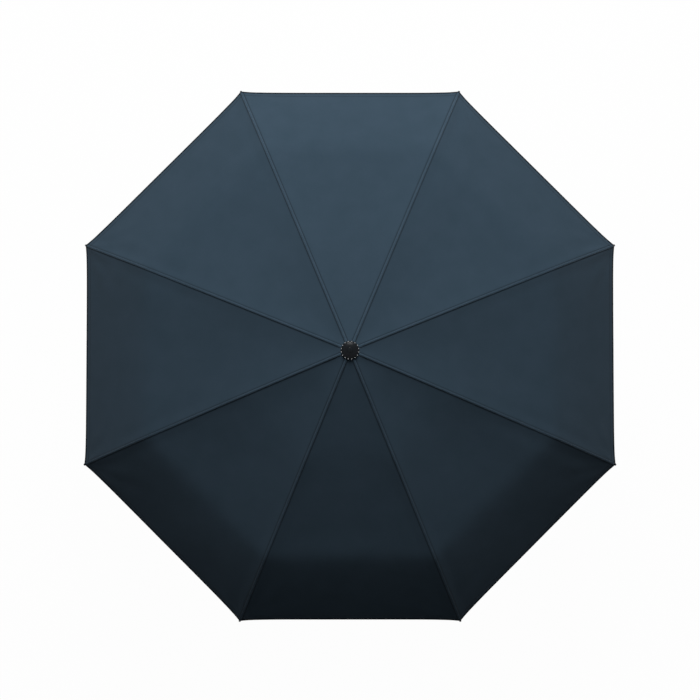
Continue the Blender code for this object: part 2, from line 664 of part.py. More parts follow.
def add_crown(mats, crown):
    bore = UPPER_TUBE_RADIUS + GAP
    blank = turned([(bore, -HUB_SKIRT), (HUB_RADIUS - HUB_BROW / 3, -HUB_SKIRT),
                    (HUB_RADIUS, -HUB_SKIRT + HUB_BROW / 3), (HUB_RADIUS, HUB_TOP),
                    (bore, HUB_TOP)])
    notch = joined(blank, cuts=hub_cuts(-HUB_SKIRT * 2, HUB_SLOT_END))
    place("top_notch", notch, mats["plastic"], parent=crown)
    place("notch_wire", ring(PIVOT_RADIUS, RING_WIRE), mats["steel"], parent=crown)

    base = CAP_UNDERSIDE - NOTCH_Z
    boss = CAP_RADIUS * 0.42
    profile = [(0, base - CAP_STUD), (STUD_RADIUS, base - CAP_STUD), (STUD_RADIUS, base),
               (CAP_RADIUS - GAP, base), (CAP_RADIUS, base + CAP_RIM / 2),
               (CAP_RADIUS * 0.95, base + CAP_RIM)]
    steps = 4
    for i in range(1, steps + 1):
        share = i / steps
        r = CAP_RADIUS * 0.95 + (boss - CAP_RADIUS * 0.95) * share
        profile.append((r, base + CAP_RIM + CAP_DOME * math.sin(share * math.pi / 2) * 0.6))
    profile += [(boss * 0.92, base + CAP_RIM + CAP_DOME * 0.9), (boss * 0.6, base + CAP_RIM + CAP_DOME),
                (0, base + CAP_RIM + CAP_DOME)]
    cuts = []
    for k in range(CAP_NOTCHES):
        a = 2 * math.pi * (k + 0.5) / CAP_NOTCHES
        tool = pin(0, 0, CAP_NOTCH_RADIUS, -CAP_RIM * 2, CAP_RIM * 2)
        moved(tool, Matrix.Rotation(math.pi / 2, 4, "X"))
        cuts.append(moved(tool, Matrix.Translation((CAP_RADIUS * math.cos(a),
                                                    CAP_RADIUS * math.sin(a), base + CAP_RIM / 2))))
    place("top_cap", joined(turned(profile), cuts=cuts), mats["gloss"], parent=crown)


def add_runner(mats, parent):
    """The runner slides on the upper tube.  Its hub is the notch turned over."""
    bore = UPPER_TUBE_RADIUS + GAP
    skirt = bore + RUNNER_WALL
    hub_low = -HUB_TOP
    hub_high = HUB_SKIRT * 0.8
    blank = turned([(bore, -RUNNER_SKIRT), (skirt, -RUNNER_SKIRT), (skirt, hub_low),
                    (HUB_RADIUS, hub_low), (HUB_RADIUS, hub_high - HUB_BROW / 3),
                    (HUB_RADIUS - HUB_BROW / 3, hub_high), (bore, hub_high)])
    body = joined(blank, cuts=hub_cuts(-HUB_SLOT_END, HUB_SKIRT * 2))
    place("runner", body, mats["plastic"], parent=parent)
    place("runner_wire", ring(PIVOT_RADIUS, RING_WIRE), mats["steel"], parent=parent)
    inner = skirt + GAP
    outer = inner + SLEEVE_WALL
    sleeve = turned([(inner, -RUNNER_SKIRT), (outer + SLEEVE_FLARE, -RUNNER_SKIRT),
                     (outer + SLEEVE_FLARE, -RUNNER_SKIRT + SLEEVE_FLARE),
                     (outer, -RUNNER_SKIRT + SLEEVE_FLARE * 3), (outer, hub_low - GAP),
                     (inner, hub_low - GAP)])
    place("runner_sleeve", sleeve, mats["chrome"], parent=parent)


# ================================================================ ribs and canopy

def rib_heading(k):
    return FIRST_RIB + 2 * math.pi * k / RIB_COUNT


def add_ribs(mats, crown):
    """Eight rib planes.  Each section's parent is the section that carries its hinge."""
    meshes = {"top": top_rib_mesh(), "stretcher": stretcher_mesh(), "link": link_mesh(),
              "middle": middle_rib_mesh(), "outer": outer_rib_mesh()}
    open_stretcher = -stretcher_heading(0.0)
    for k in range(RIB_COUNT):
        tag = k + 1
        plane = empty(f"rib_plane_{tag}", heading=rib_heading(k), parent=crown)
        top = place(f"top_rib_{tag}", meshes["top"], mats["painted"], (PIVOT_RADIUS, 0, 0),
                    TOP_SLOPE, plane)
        stretcher = place(f"stretcher_{tag}", meshes["stretcher"], mats["painted"],
                          (STRETCHER_LENGTH, 0, 0), open_stretcher, top)
        place(f"control_link_{tag}", meshes["link"], mats["steel"], (LINK_ARM, 0, 0),
              stretcher_heading(0.0) - link_heading(0.0), stretcher)
        middle = place(f"middle_rib_{tag}", meshes["middle"], mats["aluminium"],
                       (TOP_RIB_LENGTH, 0, ELBOW_OFFSET), MIDDLE_SLOPE - TOP_SLOPE, top)
        place(f"outer_rib_{tag}", meshes["outer"], mats["fibre"],
              (MIDDLE_RIB_LENGTH, 0, -2 * ELBOW_OFFSET), OUTER_SLOPE - MIDDLE_SLOPE, middle)


def canopy_profile():
    """Underside of the cloth over a rib, as (radius, height) from the notch pivots' height."""
    def along(slope):
        return Vector((math.cos(slope), -math.sin(slope)))

    def across(slope):
        return Vector((math.sin(slope), math.cos(slope)))

    hub_height = HUB_TOP + GAP
    start = Vector((UPPER_TUBE_RADIUS / math.cos(math.pi / RIB_COUNT) + GAP, hub_height))
    shoulder = Vector((HUB_RADIUS / math.cos(math.pi / RIB_COUNT) + 2 * GAP, hub_height))
    notch = Vector((PIVOT_RADIUS, 0.0))
    elbow = notch + TOP_RIB_LENGTH * along(TOP_SLOPE) + ELBOW_OFFSET * across(TOP_SLOPE)
    over_elbow = elbow + (CLOTH_OVER_ELBOW - ELBOW_OFFSET) * across(TOP_SLOPE)
    hinge = (elbow + MIDDLE_RIB_LENGTH * along(MIDDLE_SLOPE)
             - 2 * ELBOW_OFFSET * across(MIDDLE_SLOPE))
    points = [start, shoulder]
    steps = 4
    points += [shoulder.lerp(over_elbow, i / steps) for i in range(1, steps + 1)]
    over_hinge = hinge + (ELBOW_OFFSET + CLOTH_OVER_HINGE) * across(OUTER_SLOPE)
    points += [over_elbow.lerp(over_hinge, i / steps) for i in range(1, steps + 1)]
    for i in range(1, steps + 1):
        point, heading = outer_curve((OUTER_RIB_LENGTH - CANOPY_TIP_INSET) * i / steps)
        slope = OUTER_SLOPE - heading
        flat = Vector((point.x, point.z))
        place_out = flat.x * along(OUTER_SLOPE) + flat.y * across(OUTER_SLOPE)
        points.append(hinge + place_out + CLOTH_OVER_ROD * across(slope))
    return points


def add_canopy(mats, crown):
    profile = canopy_profile()
    shoulder = profile[1].x
    rim = profile[-1].x
    bm = bmesh.new()
    rows = []
    for point in profile:
        row = []
        for k in range(RIB_COUNT):
            a = rib_heading(k)
            b = rib_heading(k + 1)
            for j in range(GORE_COLUMNS):
                t = j / GORE_COLUMNS
                x = point.x * ((1 - t) * math.cos(a) + t * math.cos(b))
                y = point.x * ((1 - t) * math.sin(a) + t * math.sin(b))
                share = max(point.x - shoulder, 0.0) / (rim - shoulder)
                sag = CANOPY_SAG * 4 * t * (1 - t) * math.sin(math.pi * share)
                row.append(bm.verts.new((x, y, point.y - sag)))
        rows.append(row)
    count = len(rows[0])
    for inner, outer in zip(rows, rows[1:]):
        for j in range(count):
            n = (j + 1) % count
            bm.faces.new((inner[j], outer[j], outer[n], inner[n]))
    mesh = bpy.data.meshes.new("canopy_cover")
    bm.to_mesh(mesh)
    bm.free()
    cover = place("canopy_cover", mesh, mats["cloth"], parent=crown)
    solid = cover.modifiers.new("thickness", "SOLIDIFY")
    solid.thickness = CANOPY_THICKNESS
    solid.offset = 1.0


# ================================================================ assembly

def main():
    clear_scene()
    mats = {
        "rubber": material("soft_touch_grip", (0.012, 0.013, 0.016), 0.62, 0.0),
        "plastic": material("moulded_nylon", (0.016, 0.017, 0.019), 0.45, 0.0),
        "gloss": material("gloss_black", (0.008, 0.009, 0.011), 0.22, 0.0),
        "chrome": material("plated_tube", (0.55, 0.56, 0.58), 0.18, 1.0),
        "steel": material("zinc_wire", (0.50, 0.50, 0.50), 0.35, 1.0),
        "painted": material("black_steel", (0.020, 0.021, 0.023), 0.38, 0.4),
        "aluminium": material("aluminium", (0.60, 0.61, 0.62), 0.35, 1.0),
        "fibre": material("fibreglass", (0.015, 0.016, 0.018), 0.30, 0.0),
        "cloth": material("navy_pongee", (0.030, 0.050, 0.075), 0.55, 0.0),
    }
    root = empty("handle")
    mid = empty("mid_shaft", (0, 0, HANDLE_LENGTH + COLLAR_RISE + PARKED_LIFT + SLIDE_TRAVEL),
                parent=root)
    crown = empty("crown", (0, 0, NOTCH_Z), parent=root)
    runner = empty("runner_slide", (0, 0, RUNNER_Z), parent=root)
    add_handle(mats, root)
    add_shaft(mats, root, mid, crown)
    add_crown(mats, crown)
    add_runner(mats, runner)
    add_ribs(mats, crown)
    add_canopy(mats, crown)


main()
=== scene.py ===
import json
import math

import bmesh
import bpy
import numpy as np
from mathutils import Matrix, Vector, noise


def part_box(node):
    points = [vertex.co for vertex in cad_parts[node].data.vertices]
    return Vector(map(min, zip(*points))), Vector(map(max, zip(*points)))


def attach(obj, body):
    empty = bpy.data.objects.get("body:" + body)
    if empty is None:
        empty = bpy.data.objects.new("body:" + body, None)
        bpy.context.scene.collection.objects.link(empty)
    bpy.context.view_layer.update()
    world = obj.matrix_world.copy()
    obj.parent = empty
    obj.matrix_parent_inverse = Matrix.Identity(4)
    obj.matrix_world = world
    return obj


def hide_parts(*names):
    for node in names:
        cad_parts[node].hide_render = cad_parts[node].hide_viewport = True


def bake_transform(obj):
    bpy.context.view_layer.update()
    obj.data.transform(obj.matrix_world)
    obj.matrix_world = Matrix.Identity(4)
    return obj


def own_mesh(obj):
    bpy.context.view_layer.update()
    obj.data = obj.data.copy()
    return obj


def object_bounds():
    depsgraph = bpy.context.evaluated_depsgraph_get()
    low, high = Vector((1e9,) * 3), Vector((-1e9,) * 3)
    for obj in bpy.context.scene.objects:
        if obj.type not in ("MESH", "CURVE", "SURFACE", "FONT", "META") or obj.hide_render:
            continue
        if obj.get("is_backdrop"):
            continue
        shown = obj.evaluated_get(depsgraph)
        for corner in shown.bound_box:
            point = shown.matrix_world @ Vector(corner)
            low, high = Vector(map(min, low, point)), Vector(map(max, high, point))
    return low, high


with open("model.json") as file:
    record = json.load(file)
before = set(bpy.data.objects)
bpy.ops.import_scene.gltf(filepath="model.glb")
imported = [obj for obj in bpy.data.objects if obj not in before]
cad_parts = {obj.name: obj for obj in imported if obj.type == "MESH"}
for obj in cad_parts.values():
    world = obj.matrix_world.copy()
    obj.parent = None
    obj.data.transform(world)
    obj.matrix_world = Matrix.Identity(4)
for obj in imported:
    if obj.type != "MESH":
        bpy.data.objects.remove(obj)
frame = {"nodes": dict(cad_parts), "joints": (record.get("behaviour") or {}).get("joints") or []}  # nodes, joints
cadLow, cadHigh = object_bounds()
nodes = frame["nodes"]
joints = {joint["name"]: joint for joint in frame["joints"]}
print("frame loaded:", len(nodes), "nodes")

ribCount = 8
halfPanel = math.pi / ribCount
slant = math.tan(halfPanel)  # how far a panel's middle lies from its rib, per length along it
firstRib = math.radians(22.5)
mm = 0.001  # the scene is in metres
softAngle = 40.0    # degrees; edges of cloth and small parts that bend more stay sharp
turnedAngle = 35.0  # the same for turned and moulded pieces


def toLinear(text):
    values = [int(text[i:i + 2], 16) / 255 for i in (0, 2, 4)]
    return [v / 12.92 if v <= 0.04045 else ((v + 0.055) / 1.055) ** 2.4 for v in values] + [1.0]


def addNode(tree, kind, settings=None, inputs=None):
    node = tree.nodes.new(kind)
    for name, value in (settings or {}).items():
        setattr(node, name, value)
    for name, value in (inputs or {}).items():
        if isinstance(value, bpy.types.NodeSocket):
            tree.links.new(value, node.inputs[name])
        else:
            node.inputs[name].default_value = value
    return node


def newMaterial(name, looks):
    mat = bpy.data.materials.new(name)
    mat.use_nodes = True
    shader = mat.node_tree.nodes["Principled BSDF"]
    for key, value in looks.items():
        shader.inputs[key].default_value = value
    return mat, mat.node_tree, shader


def waveScale(gap):
    # a wave texture of scale 1 turns through 20 radians in each metre
    return 2 * math.pi / (20 * gap)


def fillRamp(ramp, stops):
    elements = ramp.color_ramp.elements
    while len(elements) < len(stops):
        elements.new(0.5)
    for element, (place, value) in zip(elements, stops):
        element.position = place
        element.color = (value, value, value, 1.0)


pongee = {
    "colours": ("2f404c", "374755"),
    "threadGap": 1.6 * mm,      # 0.12 mm on the real cloth, drawn this coarse so that it shows
    "weaveRelief": 0.15 * mm,
    "dyePatch": 38.5 * mm,      # the width of a patch of uneven dye
    "slub": 1.11 * mm,          # the width of a thick place in a thread
    "seamReach": 6.0 * mm,      # how far from a rib the seam's painted highlight and painted shade go
    "hemReach": 12.0 * mm,
    # painted brightness at shares of those reaches, out from the rib and in from the hem's edge: a
    # painted highlight on the seam's ridge with painted shade beside it, and painted shade at the
    # hem's edge and along its stitching
    "seamLines": ((0.0, 1.12), (0.3, 1.25), (0.4, 0.42), (0.5, 0.46), (0.66, 0.93), (1.0, 1.0)),
    "hemLines": ((0.0, 0.16), (0.18, 0.22), (0.28, 0.97), (0.56, 1.0), (0.61, 0.72),
                 (0.66, 0.72), (0.74, 1.0)),
}


def clothMaterial():
    # Woven polyester pongee, dyed navy: a fine tight weave with a soft grey bloom where the light
    # rakes over it, and painted shade in lines where seams and hems are stitched down, with a
    # painted highlight on each seam's ridge.
    looks = {"Roughness": 0.8, "Specular IOR Level": 0.03, "Sheen Weight": 0.08,
             "Sheen Roughness": 0.55, "Sheen Tint": (1.0, 1.0, 1.0, 1.0)}
    mat, tree, shader = newMaterial("navyPongeeWoven", looks)
    cut = addNode(tree, "ShaderNodeUVMap", {"uv_map": "cut"})
    place = addNode(tree, "ShaderNodeTexCoord")
    threads = {"Vector": cut.outputs["UV"], "Scale": waveScale(pongee["threadGap"]),
               "Distortion": 0.6, "Detail": 1.0}
    warp = addNode(tree, "ShaderNodeTexWave", {"wave_type": "BANDS", "bands_direction": "X"},
                   threads)
    weft = addNode(tree, "ShaderNodeTexWave", {"wave_type": "BANDS", "bands_direction": "Y"},
                   threads)
    weave = addNode(tree, "ShaderNodeMath", {"operation": "MULTIPLY"},
                    {0: warp.outputs["Fac"], 1: weft.outputs["Fac"]})
    dye = addNode(tree, "ShaderNodeTexNoise", {},
                  {"Vector": place.outputs["Object"], "Scale": 1 / pongee["dyePatch"],
                   "Detail": 4.0, "Roughness": 0.55})
    fine = addNode(tree, "ShaderNodeTexNoise", {},
                   {"Vector": place.outputs["Object"], "Scale": 1 / pongee["slub"],
                    "Detail": 2.0})
    colour = addNode(tree, "ShaderNodeMix", {"data_type": "RGBA"},
                     {"Factor": dye.outputs["Fac"], "A": toLinear(pongee["colours"][0]),
                      "B": toLinear(pongee["colours"][1])})
    dark = addNode(tree, "ShaderNodeMapRange", {},
                   {"Value": weave.outputs[0], "To Min": 0.92, "To Max": 1.05})
    grain = addNode(tree, "ShaderNodeMapRange", {},
                    {"Value": fine.outputs["Fac"], "To Min": 0.9, "To Max": 1.1})
    # painted light along the seams: a painted highlight on a seam's ridge, and painted shade in the
    # lines beside it, where the thread pulls the cloth down
    seamGap = addNode(tree, "ShaderNodeAttribute", {"attribute_name": "fromSeam"})
    seamShare = addNode(tree, "ShaderNodeMapRange", {},
                        {"Value": seamGap.outputs["Fac"], "From Max": pongee["seamReach"]})
    seamPaintedLight = addNode(tree, "ShaderNodeValToRGB", {}, {"Fac": seamShare.outputs[0]})
    fillRamp(seamPaintedLight, pongee["seamLines"])
    # painted shade at the hem's edge and along its row of stitches
    hemGap = addNode(tree, "ShaderNodeAttribute", {"attribute_name": "fromHem"})
    hemShare = addNode(tree, "ShaderNodeMapRange", {},
                       {"Value": hemGap.outputs["Fac"], "From Max": pongee["hemReach"]})
    hemPaintedShade = addNode(tree, "ShaderNodeValToRGB", {}, {"Fac": hemShare.outputs[0]})
    fillRamp(hemPaintedShade, pongee["hemLines"])
    # the painted seam and hem light together, then laid over the weave's pattern in the cloth's
    # colour
    paintedSeamHemLight = addNode(tree, "ShaderNodeMath", {"operation": "MULTIPLY"},
                    {0: seamPaintedLight.outputs["Color"], 1: hemPaintedShade.outputs["Color"]})
    shade = addNode(tree, "ShaderNodeMath", {"operation": "MULTIPLY"},
                    {0: dark.outputs[0], 1: paintedSeamHemLight.outputs[0]})
    tone = addNode(tree, "ShaderNodeMath", {"operation": "MULTIPLY"},
                   {0: shade.outputs[0], 1: grain.outputs[0]})
    final = addNode(tree, "ShaderNodeVectorMath", {"operation": "SCALE"},
                    {0: colour.outputs["Result"], "Scale": tone.outputs[0]})
    tree.links.new(final.outputs[0], shader.inputs["Base Color"])
    relief = addNode(tree, "ShaderNodeBump", {},
                     {"Strength": 0.25, "Distance": pongee["weaveRelief"],
                      "Height": weave.outputs[0]})
    tree.links.new(relief.outputs["Normal"], shader.inputs["Normal"])
    return mat


def grainyMaterial(name, looks, colours, grain, roughness, relief, depth, stretch=(1, 1, 1)):
    # A base colour that wanders between two, roughness that varies in wider patches, and a
    # fine relief. grain is the width of one grain and depth the height of its relief.
    mat, tree, shader = newMaterial(name, looks)
    place = addNode(tree, "ShaderNodeTexCoord")
    turn = addNode(tree, "ShaderNodeMapping", {}, {"Vector": place.outputs["Object"],
                                                   "Scale": stretch})
    grains = addNode(tree, "ShaderNodeTexNoise", {},
                     {"Vector": turn.outputs[0], "Scale": 1 / grain, "Detail": 4.0})
    worn = addNode(tree, "ShaderNodeTexNoise", {},  # patches nine grains wide
                   {"Vector": place.outputs["Object"], "Scale": 0.11 / grain, "Detail": 3.0})
    blend = addNode(tree, "ShaderNodeMath", {"operation": "MULTIPLY"},
                    {0: grains.outputs["Fac"], 1: worn.outputs["Fac"]})
    share = addNode(tree, "ShaderNodeMapRange", {},
                    {"Value": blend.outputs[0], "From Min": 0.1, "From Max": 0.45})
    colour = addNode(tree, "ShaderNodeMix", {"data_type": "RGBA"},
                     {"Factor": share.outputs[0], "A": toLinear(colours[0]),
                      "B": toLinear(colours[1])})
    rough = addNode(tree, "ShaderNodeMapRange", {},
                    {"Value": worn.outputs["Fac"], "From Min": 0.3, "From Max": 0.7,
                     "To Min": roughness[0], "To Max": roughness[1]})
    bump = addNode(tree, "ShaderNodeBump", {},
                   {"Strength": relief, "Distance": depth, "Height": grains.outputs["Fac"]})
    tree.links.new(colour.outputs["Result"], shader.inputs["Base Color"])
    tree.links.new(rough.outputs[0], shader.inputs["Roughness"])
    tree.links.new(bump.outputs["Normal"], shader.inputs["Normal"])
    return mat


navyPongee = clothMaterial()
# Spun polyester sewing thread, a shade darker than the cloth, with a slight twist grain.
navyThread = grainyMaterial("navyThreadSpun", {"Specular IOR Level": 0.2, "Sheen Weight": 0.3},
                            ("16202b", "202c39"), grain=0.385 * mm, roughness=(0.6, 0.75),
                            relief=0.4, depth=0.1 * mm)
# Rubber-coated plastic, moulded and spray coated: a dead matt black with a fine orange peel.
softTouch = grainyMaterial("softTouchRubberCoat", {"Specular IOR Level": 0.35},
                           ("141518", "1b1c20"), grain=0.714 * mm, roughness=(0.55, 0.68),
                           relief=0.25, depth=0.08 * mm)
# Glass-filled nylon, injection moulded: satin black with faint flow marks.
mouldedNylon = grainyMaterial("nylonMoulded", {"Specular IOR Level": 0.4},
                              ("15171a", "1e2023"), grain=1.43 * mm, roughness=(0.38, 0.52),
                              relief=0.2, depth=0.06 * mm, stretch=(1, 1, 2.5))
# ABS, moulded in a polished tool: near-black with a soft gloss and slight waviness.
glossAbs = grainyMaterial("absPolishedMoulding", {"Specular IOR Level": 0.08},
                          ("0f1316", "171b1f"), grain=3.85 * mm, roughness=(0.2, 0.32),
                          relief=0.12, depth=0.05 * mm)
# Steel tube, nickel-chromium plated: bright, with hairline draw marks along its length.
platedTube = grainyMaterial("steelTubeChromed", {"Metallic": 1.0}, ("b9bcc0", "c9cccf"),
                            grain=0.625 * mm, roughness=(0.12, 0.24), relief=0.12,
                            depth=0.02 * mm, stretch=(1, 1, 0.02))
# Spring steel wire, zinc plated: dull silver with fine scratches.
zincWire = grainyMaterial("steelWireZinc", {"Metallic": 1.0}, ("8d9092", "a3a6a8"),
                          grain=0.556 * mm, roughness=(0.28, 0.42), relief=0.2,
                          depth=0.03 * mm)
# Steel strip, blacked and lacquered: black with grey rubbed grain.
blackSteel = grainyMaterial("steelStripBlackened", {"Metallic": 0.6}, ("1b1d20", "2a2c2f"),
                            grain=0.833 * mm, roughness=(0.3, 0.45), relief=0.25,
                            depth=0.04 * mm)
# Aluminium channel, roll formed and left bright: pale grey with a soft brushed sheen.
rolledAluminium = grainyMaterial("aluminiumRolled", {"Metallic": 1.0}, ("a4a7aa", "b8bbbe"),
                                 grain=0.667 * mm, roughness=(0.28, 0.4), relief=0.2,
                                 depth=0.03 * mm)
# Glass-fibre rod, pultruded and black: smooth resin with fine fibres in it.
fibreRod = grainyMaterial("glassFibrePultruded", {"Specular IOR Level": 0.45},
                          ("121417", "1f2125"), grain=1.11 * mm, roughness=(0.24, 0.36),
                          relief=0.15, depth=0.04 * mm)
print("materials made")


def meshObject(name, bm, mats, smoothAngle=softAngle):
    mesh = bpy.data.meshes.new(name)
    bm.to_mesh(mesh)
    bm.free()
    for mat in mats:
        mesh.materials.append(mat)
    mesh.shade_smooth()
    mesh.set_sharp_from_angle(angle=math.radians(smoothAngle))
    obj = bpy.data.objects.new(name, mesh)
    bpy.context.scene.collection.objects.link(obj)
    return obj


def spunPiece(bm, profile, steps, closed=True):
    # a (radius, height) outline turned a full circle about Z; one that starts and ends on the
    # axis isn't closed
    verts = [bm.verts.new((r, 0.0, z)) for r, z in profile]
    count = len(verts) if closed else len(verts) - 1
    edges = [bm.edges.new((verts[i], verts[(i + 1) % len(verts)])) for i in range(count)]
    bmesh.ops.spin(bm, geom=verts + edges, cent=(0, 0, 0), axis=(0, 0, 1), angle=2 * math.pi,
                   steps=steps, use_merge=True)
    bmesh.ops.remove_doubles(bm, verts=bm.verts, dist=1e-6)
    bmesh.ops.recalc_face_normals(bm, faces=bm.faces)


def turnedPiece(name, profile, steps, mat, body, nodeName=None, closed=True):
    # profile in millimetres
    bm = bmesh.new()
    spunPiece(bm, [(r * mm, z * mm) for r, z in profile], steps, closed)
    finishPiece(meshObject(name, bm, [mat], turnedAngle), body, nodeName)


def finishPiece(obj, body, nodeName=None):
    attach(obj, body)
    if nodeName:
        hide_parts(nodeName)


def moveAll(bm, matrix):
    bmesh.ops.transform(bm, matrix=matrix, verts=bm.verts)


def ribFrame(rib):
    return Matrix.Rotation(firstRib + 2 * halfPanel * rib, 4, "Z")


def jointRadius(name):
    x, y, _ = joints[name]["pos_m"]
    return math.hypot(x, y)


canopy = {
    "thickness": 0.25 * mm,
    "sag": 5.0 * mm,            # of a panel between two ribs
    "elbowEase": 36.0 * mm,     # a quarter of the length over which a panel rounds the elbow
    "hingeEase": 14.0 * mm,     # the same at the outer hinge, where the bend is crisp
    "ribEase": 9.0 * mm,        # the same over the ribs themselves
    "hemFlare": 3.0 * mm,       # how far the corners are drawn out past the straight hem
    "hemFlareReach": 20.0 * mm,
    "collarReach": 22.0 * mm,   # cloth that bends between the notch and a rib
    "collarHeld": 0.8,          # the share of the shoulder's radius that stays with the notch
    "collarColumns": 10,
    "crownFade": 40.0 * mm,     # the length over which the easing sets in past the notch
    "rowStep": 2.6 * mm,
    "seamColumns": [0.0, 0.9, 1.7, 2.2, 2.6, 3.0, 3.6, 4.6, 6.2, 8.5],  # mm from the rib's line
    "panelColumns": 16,
    "columnSpread": 1.25,       # above 1 the columns crowd towards the seam
    "sampleStep": 1.0 * mm,
    "sampledPast": 80.0 * mm,   # how far the profile is carried on past the rim
}
seamEnd = canopy["seamColumns"][-1] * mm

# The cloth's small relief. Each pair of reaches is where it sets in and where it is full.
relief = {
    "waves": ((11, 3.0, 0.9 * mm), (34, 9.0, 0.22 * mm)),  # waves per metre, seed, height
    "crownReach": (20 * mm, 120 * mm),
    "ribReach": (0.0, 50 * mm),
    "seamRidge": 0.65 * mm,     # height of the felled seam
    "seamHalf": 1.8 * mm,       # its half width at the crown
    "seamWidening": 0.6 * mm,   # added to that by the rim
    "seamEdge": 0.5 * mm,
    "puckerPitch": 7.5 * mm,
    "puckerHeight": 0.13 * mm,
    "puckerFade": 3.5 * mm,
    "puckerStray": (60, 1.7),   # how often and how far (radians) the puckers stray from even
    "besideReach": 30 * mm,     # the band beside a seam that the tension draws down
    "besideDrop": 0.9 * mm,
    "besideFrom": (0.25, 1.0),  # shares of the way out to the rim
    "foldCount": 11.0,          # folds that fan out from a corner
    "foldHeight": 0.35 * mm,
    "foldShifts": (1.3, 0.7),   # for each rib and side, so that no two corners fold alike
    "foldStart": (4 * mm, 20 * mm),
    "foldEnd": (50 * mm, 120 * mm),
    "foldFromRib": (0.0, 8 * mm),
}


def readProfile():
    # mid-surface of the CAD canopy over the first rib, as (radius, height), from the crown out
    sameAngle, sameWall = 0.002, 1.2 * mm  # radians off the rib; the canopy's two faces are nearer
    found = []
    for v in nodes["canopy_cover"].data.vertices:
        if abs(math.atan2(v.co.y, v.co.x) - firstRib) < sameAngle:
            found.append((math.hypot(v.co.x, v.co.y), v.co.z))
    found = sorted(set((round(r, 7), round(z, 7)) for r, z in found))
    groups = []
    for r, z in found:
        near = [g for g in groups if math.hypot(g[0][0] - r, g[0][1] - z) < sameWall]
        if near:
            near[0].append((r, z))
        else:
            groups.append([(r, z)])
    return [tuple(np.mean(group, axis=0)) for group in groups]


profile = readProfile()
rimRadius = profile[-1][0]
shoulder = profile[1][0]
elbowRadius = jointRadius("elbow_fold_1")
hingeRadius = jointRadius("tip_fold_1")
samples = np.arange(0.0, rimRadius + canopy["sampledPast"], canopy["sampleStep"])
lastSlope = (profile[-1][1] - profile[-2][1]) / (profile[-1][0] - profile[-2][0])
rawHeights = np.interp(samples, [p[0] for p in profile], [p[1] for p in profile])
past = samples > rimRadius
rawHeights[past] = profile[-1][1] + lastSlope * (samples[past] - rimRadius)


def eased(heights, half):
    # running mean over half to each side, twice, with the ends carried on straight
    count = int(half / canopy["sampleStep"])
    kernel = np.ones(count * 2 + 1) / (count * 2 + 1)
    before = heights[0] + (heights[1] - heights[0]) * np.arange(-count * 2, 0)
    after = heights[-1] + (heights[-1] - heights[-2]) * np.arange(1, count * 2 + 1)
    long = np.concatenate([before, heights, after])
    return np.convolve(np.convolve(long, kernel, "valid"), kernel, "valid")


def keptAtCrown(smooth):
    # the cloth starts flat on the notch, so the easing fades in past the shoulder
    share = np.clip((samples - shoulder) / canopy["crownFade"], 0.0, 1.0)
    return rawHeights + (smooth - rawHeights) * share


ribHeights = keptAtCrown(eased(rawHeights, canopy["ribEase"]))
panelHeights = keptAtCrown(np.where(samples < (elbowRadius + hingeRadius) / 2,
                                    eased(rawHeights, canopy["elbowEase"]),
                                    eased(rawHeights, canopy["hingeEase"])))


def smoothStep(low, high, x):
    t = min(max((x - low) / (high - low), 0.0), 1.0)
    return t * t * (3 - 2 * t)


def hemRadius(across):
    # the hem's q, as in clothPoint, at that distance from the rib
    return rimRadius - canopy["hemFlare"] * (1 - math.exp(-across / canopy["hemFlareReach"]))


def clothPoint(rib, side, q, across, lift=0.0):
    # A point on the cloth, at that distance from the rib. q is the radius at which the chord
    # through it, square to the panel's middle line, meets the rib.
    width = q * math.sin(halfPanel) * math.cos(halfPanel)
    w = min(across / width, 1.0) if width > 0 else 0.0
    x = q * (1 - w * math.sin(halfPanel) ** 2)
    y = width * w
    drop = 1 - (1 - w) ** 2
    share = max(q - shoulder, 0.0) / (rimRadius - shoulder)
    ridge = float(np.interp(q, samples, ribHeights))
    panel = float(np.interp(q, samples, panelHeights))
    z = ridge + (panel - ridge) * drop - canopy["sag"] * drop * math.sin(math.pi * min(share, 1.0))
    local = Vector((x, y * side, z))
    world = ribFrame(rib) @ local
    fade = smoothStep(*relief["crownReach"], q)
    # slight unevenness of the stretched cloth, the same on both sides of every shared edge
    wave = sum(noise.noise(Vector((world.x * rate, world.y * rate, seed))) * height
               for rate, seed, height in relief["waves"])
    world.z += wave * fade * smoothStep(*relief["ribReach"], across)
    # the felled seam stands proud along the rib, and the cloth dips beside it
    seamHalf = relief["seamHalf"] + relief["seamWidening"] * share
    ridgeShare = 1 - smoothStep(seamHalf, seamHalf + relief["seamEdge"], across)
    world.z += relief["seamRidge"] * ridgeShare
    beside = across - seamHalf
    if 0 < beside < relief["besideReach"]:
        strayRate, strayTurn = relief["puckerStray"]
        stray = strayTurn * noise.noise((q * strayRate, rib, side))
        pucker = math.sin(q * 2 * math.pi / relief["puckerPitch"] + stray)
        fading = math.exp(-beside / relief["puckerFade"])
        world.z += pucker * relief["puckerHeight"] * fading * fade
        dip = math.sin(math.pi * beside / relief["besideReach"]) ** 2
        world.z -= relief["besideDrop"] * smoothStep(*relief["besideFrom"], share) * dip
    # soft folds that fan out from the corner
    tip = rimRadius - q
    reach = math.hypot(tip, across)
    if reach < relief["foldEnd"][1]:
        turn = math.atan2(across, max(tip, 0.0) + 1e-6)
        ribShift, sideShift = relief["foldShifts"]
        fan = math.sin(turn * relief["foldCount"] + rib * ribShift + side * sideShift)
        strength = smoothStep(*relief["foldStart"], reach) * (
            1 - smoothStep(*relief["foldEnd"], reach))
        world.z += fan * strength * relief["foldHeight"] * smoothStep(*relief["foldFromRib"],
                                                                      across)
    world.z += lift
    return world


def ribEnd(end):
    return rimRadius if end == "hem" else end


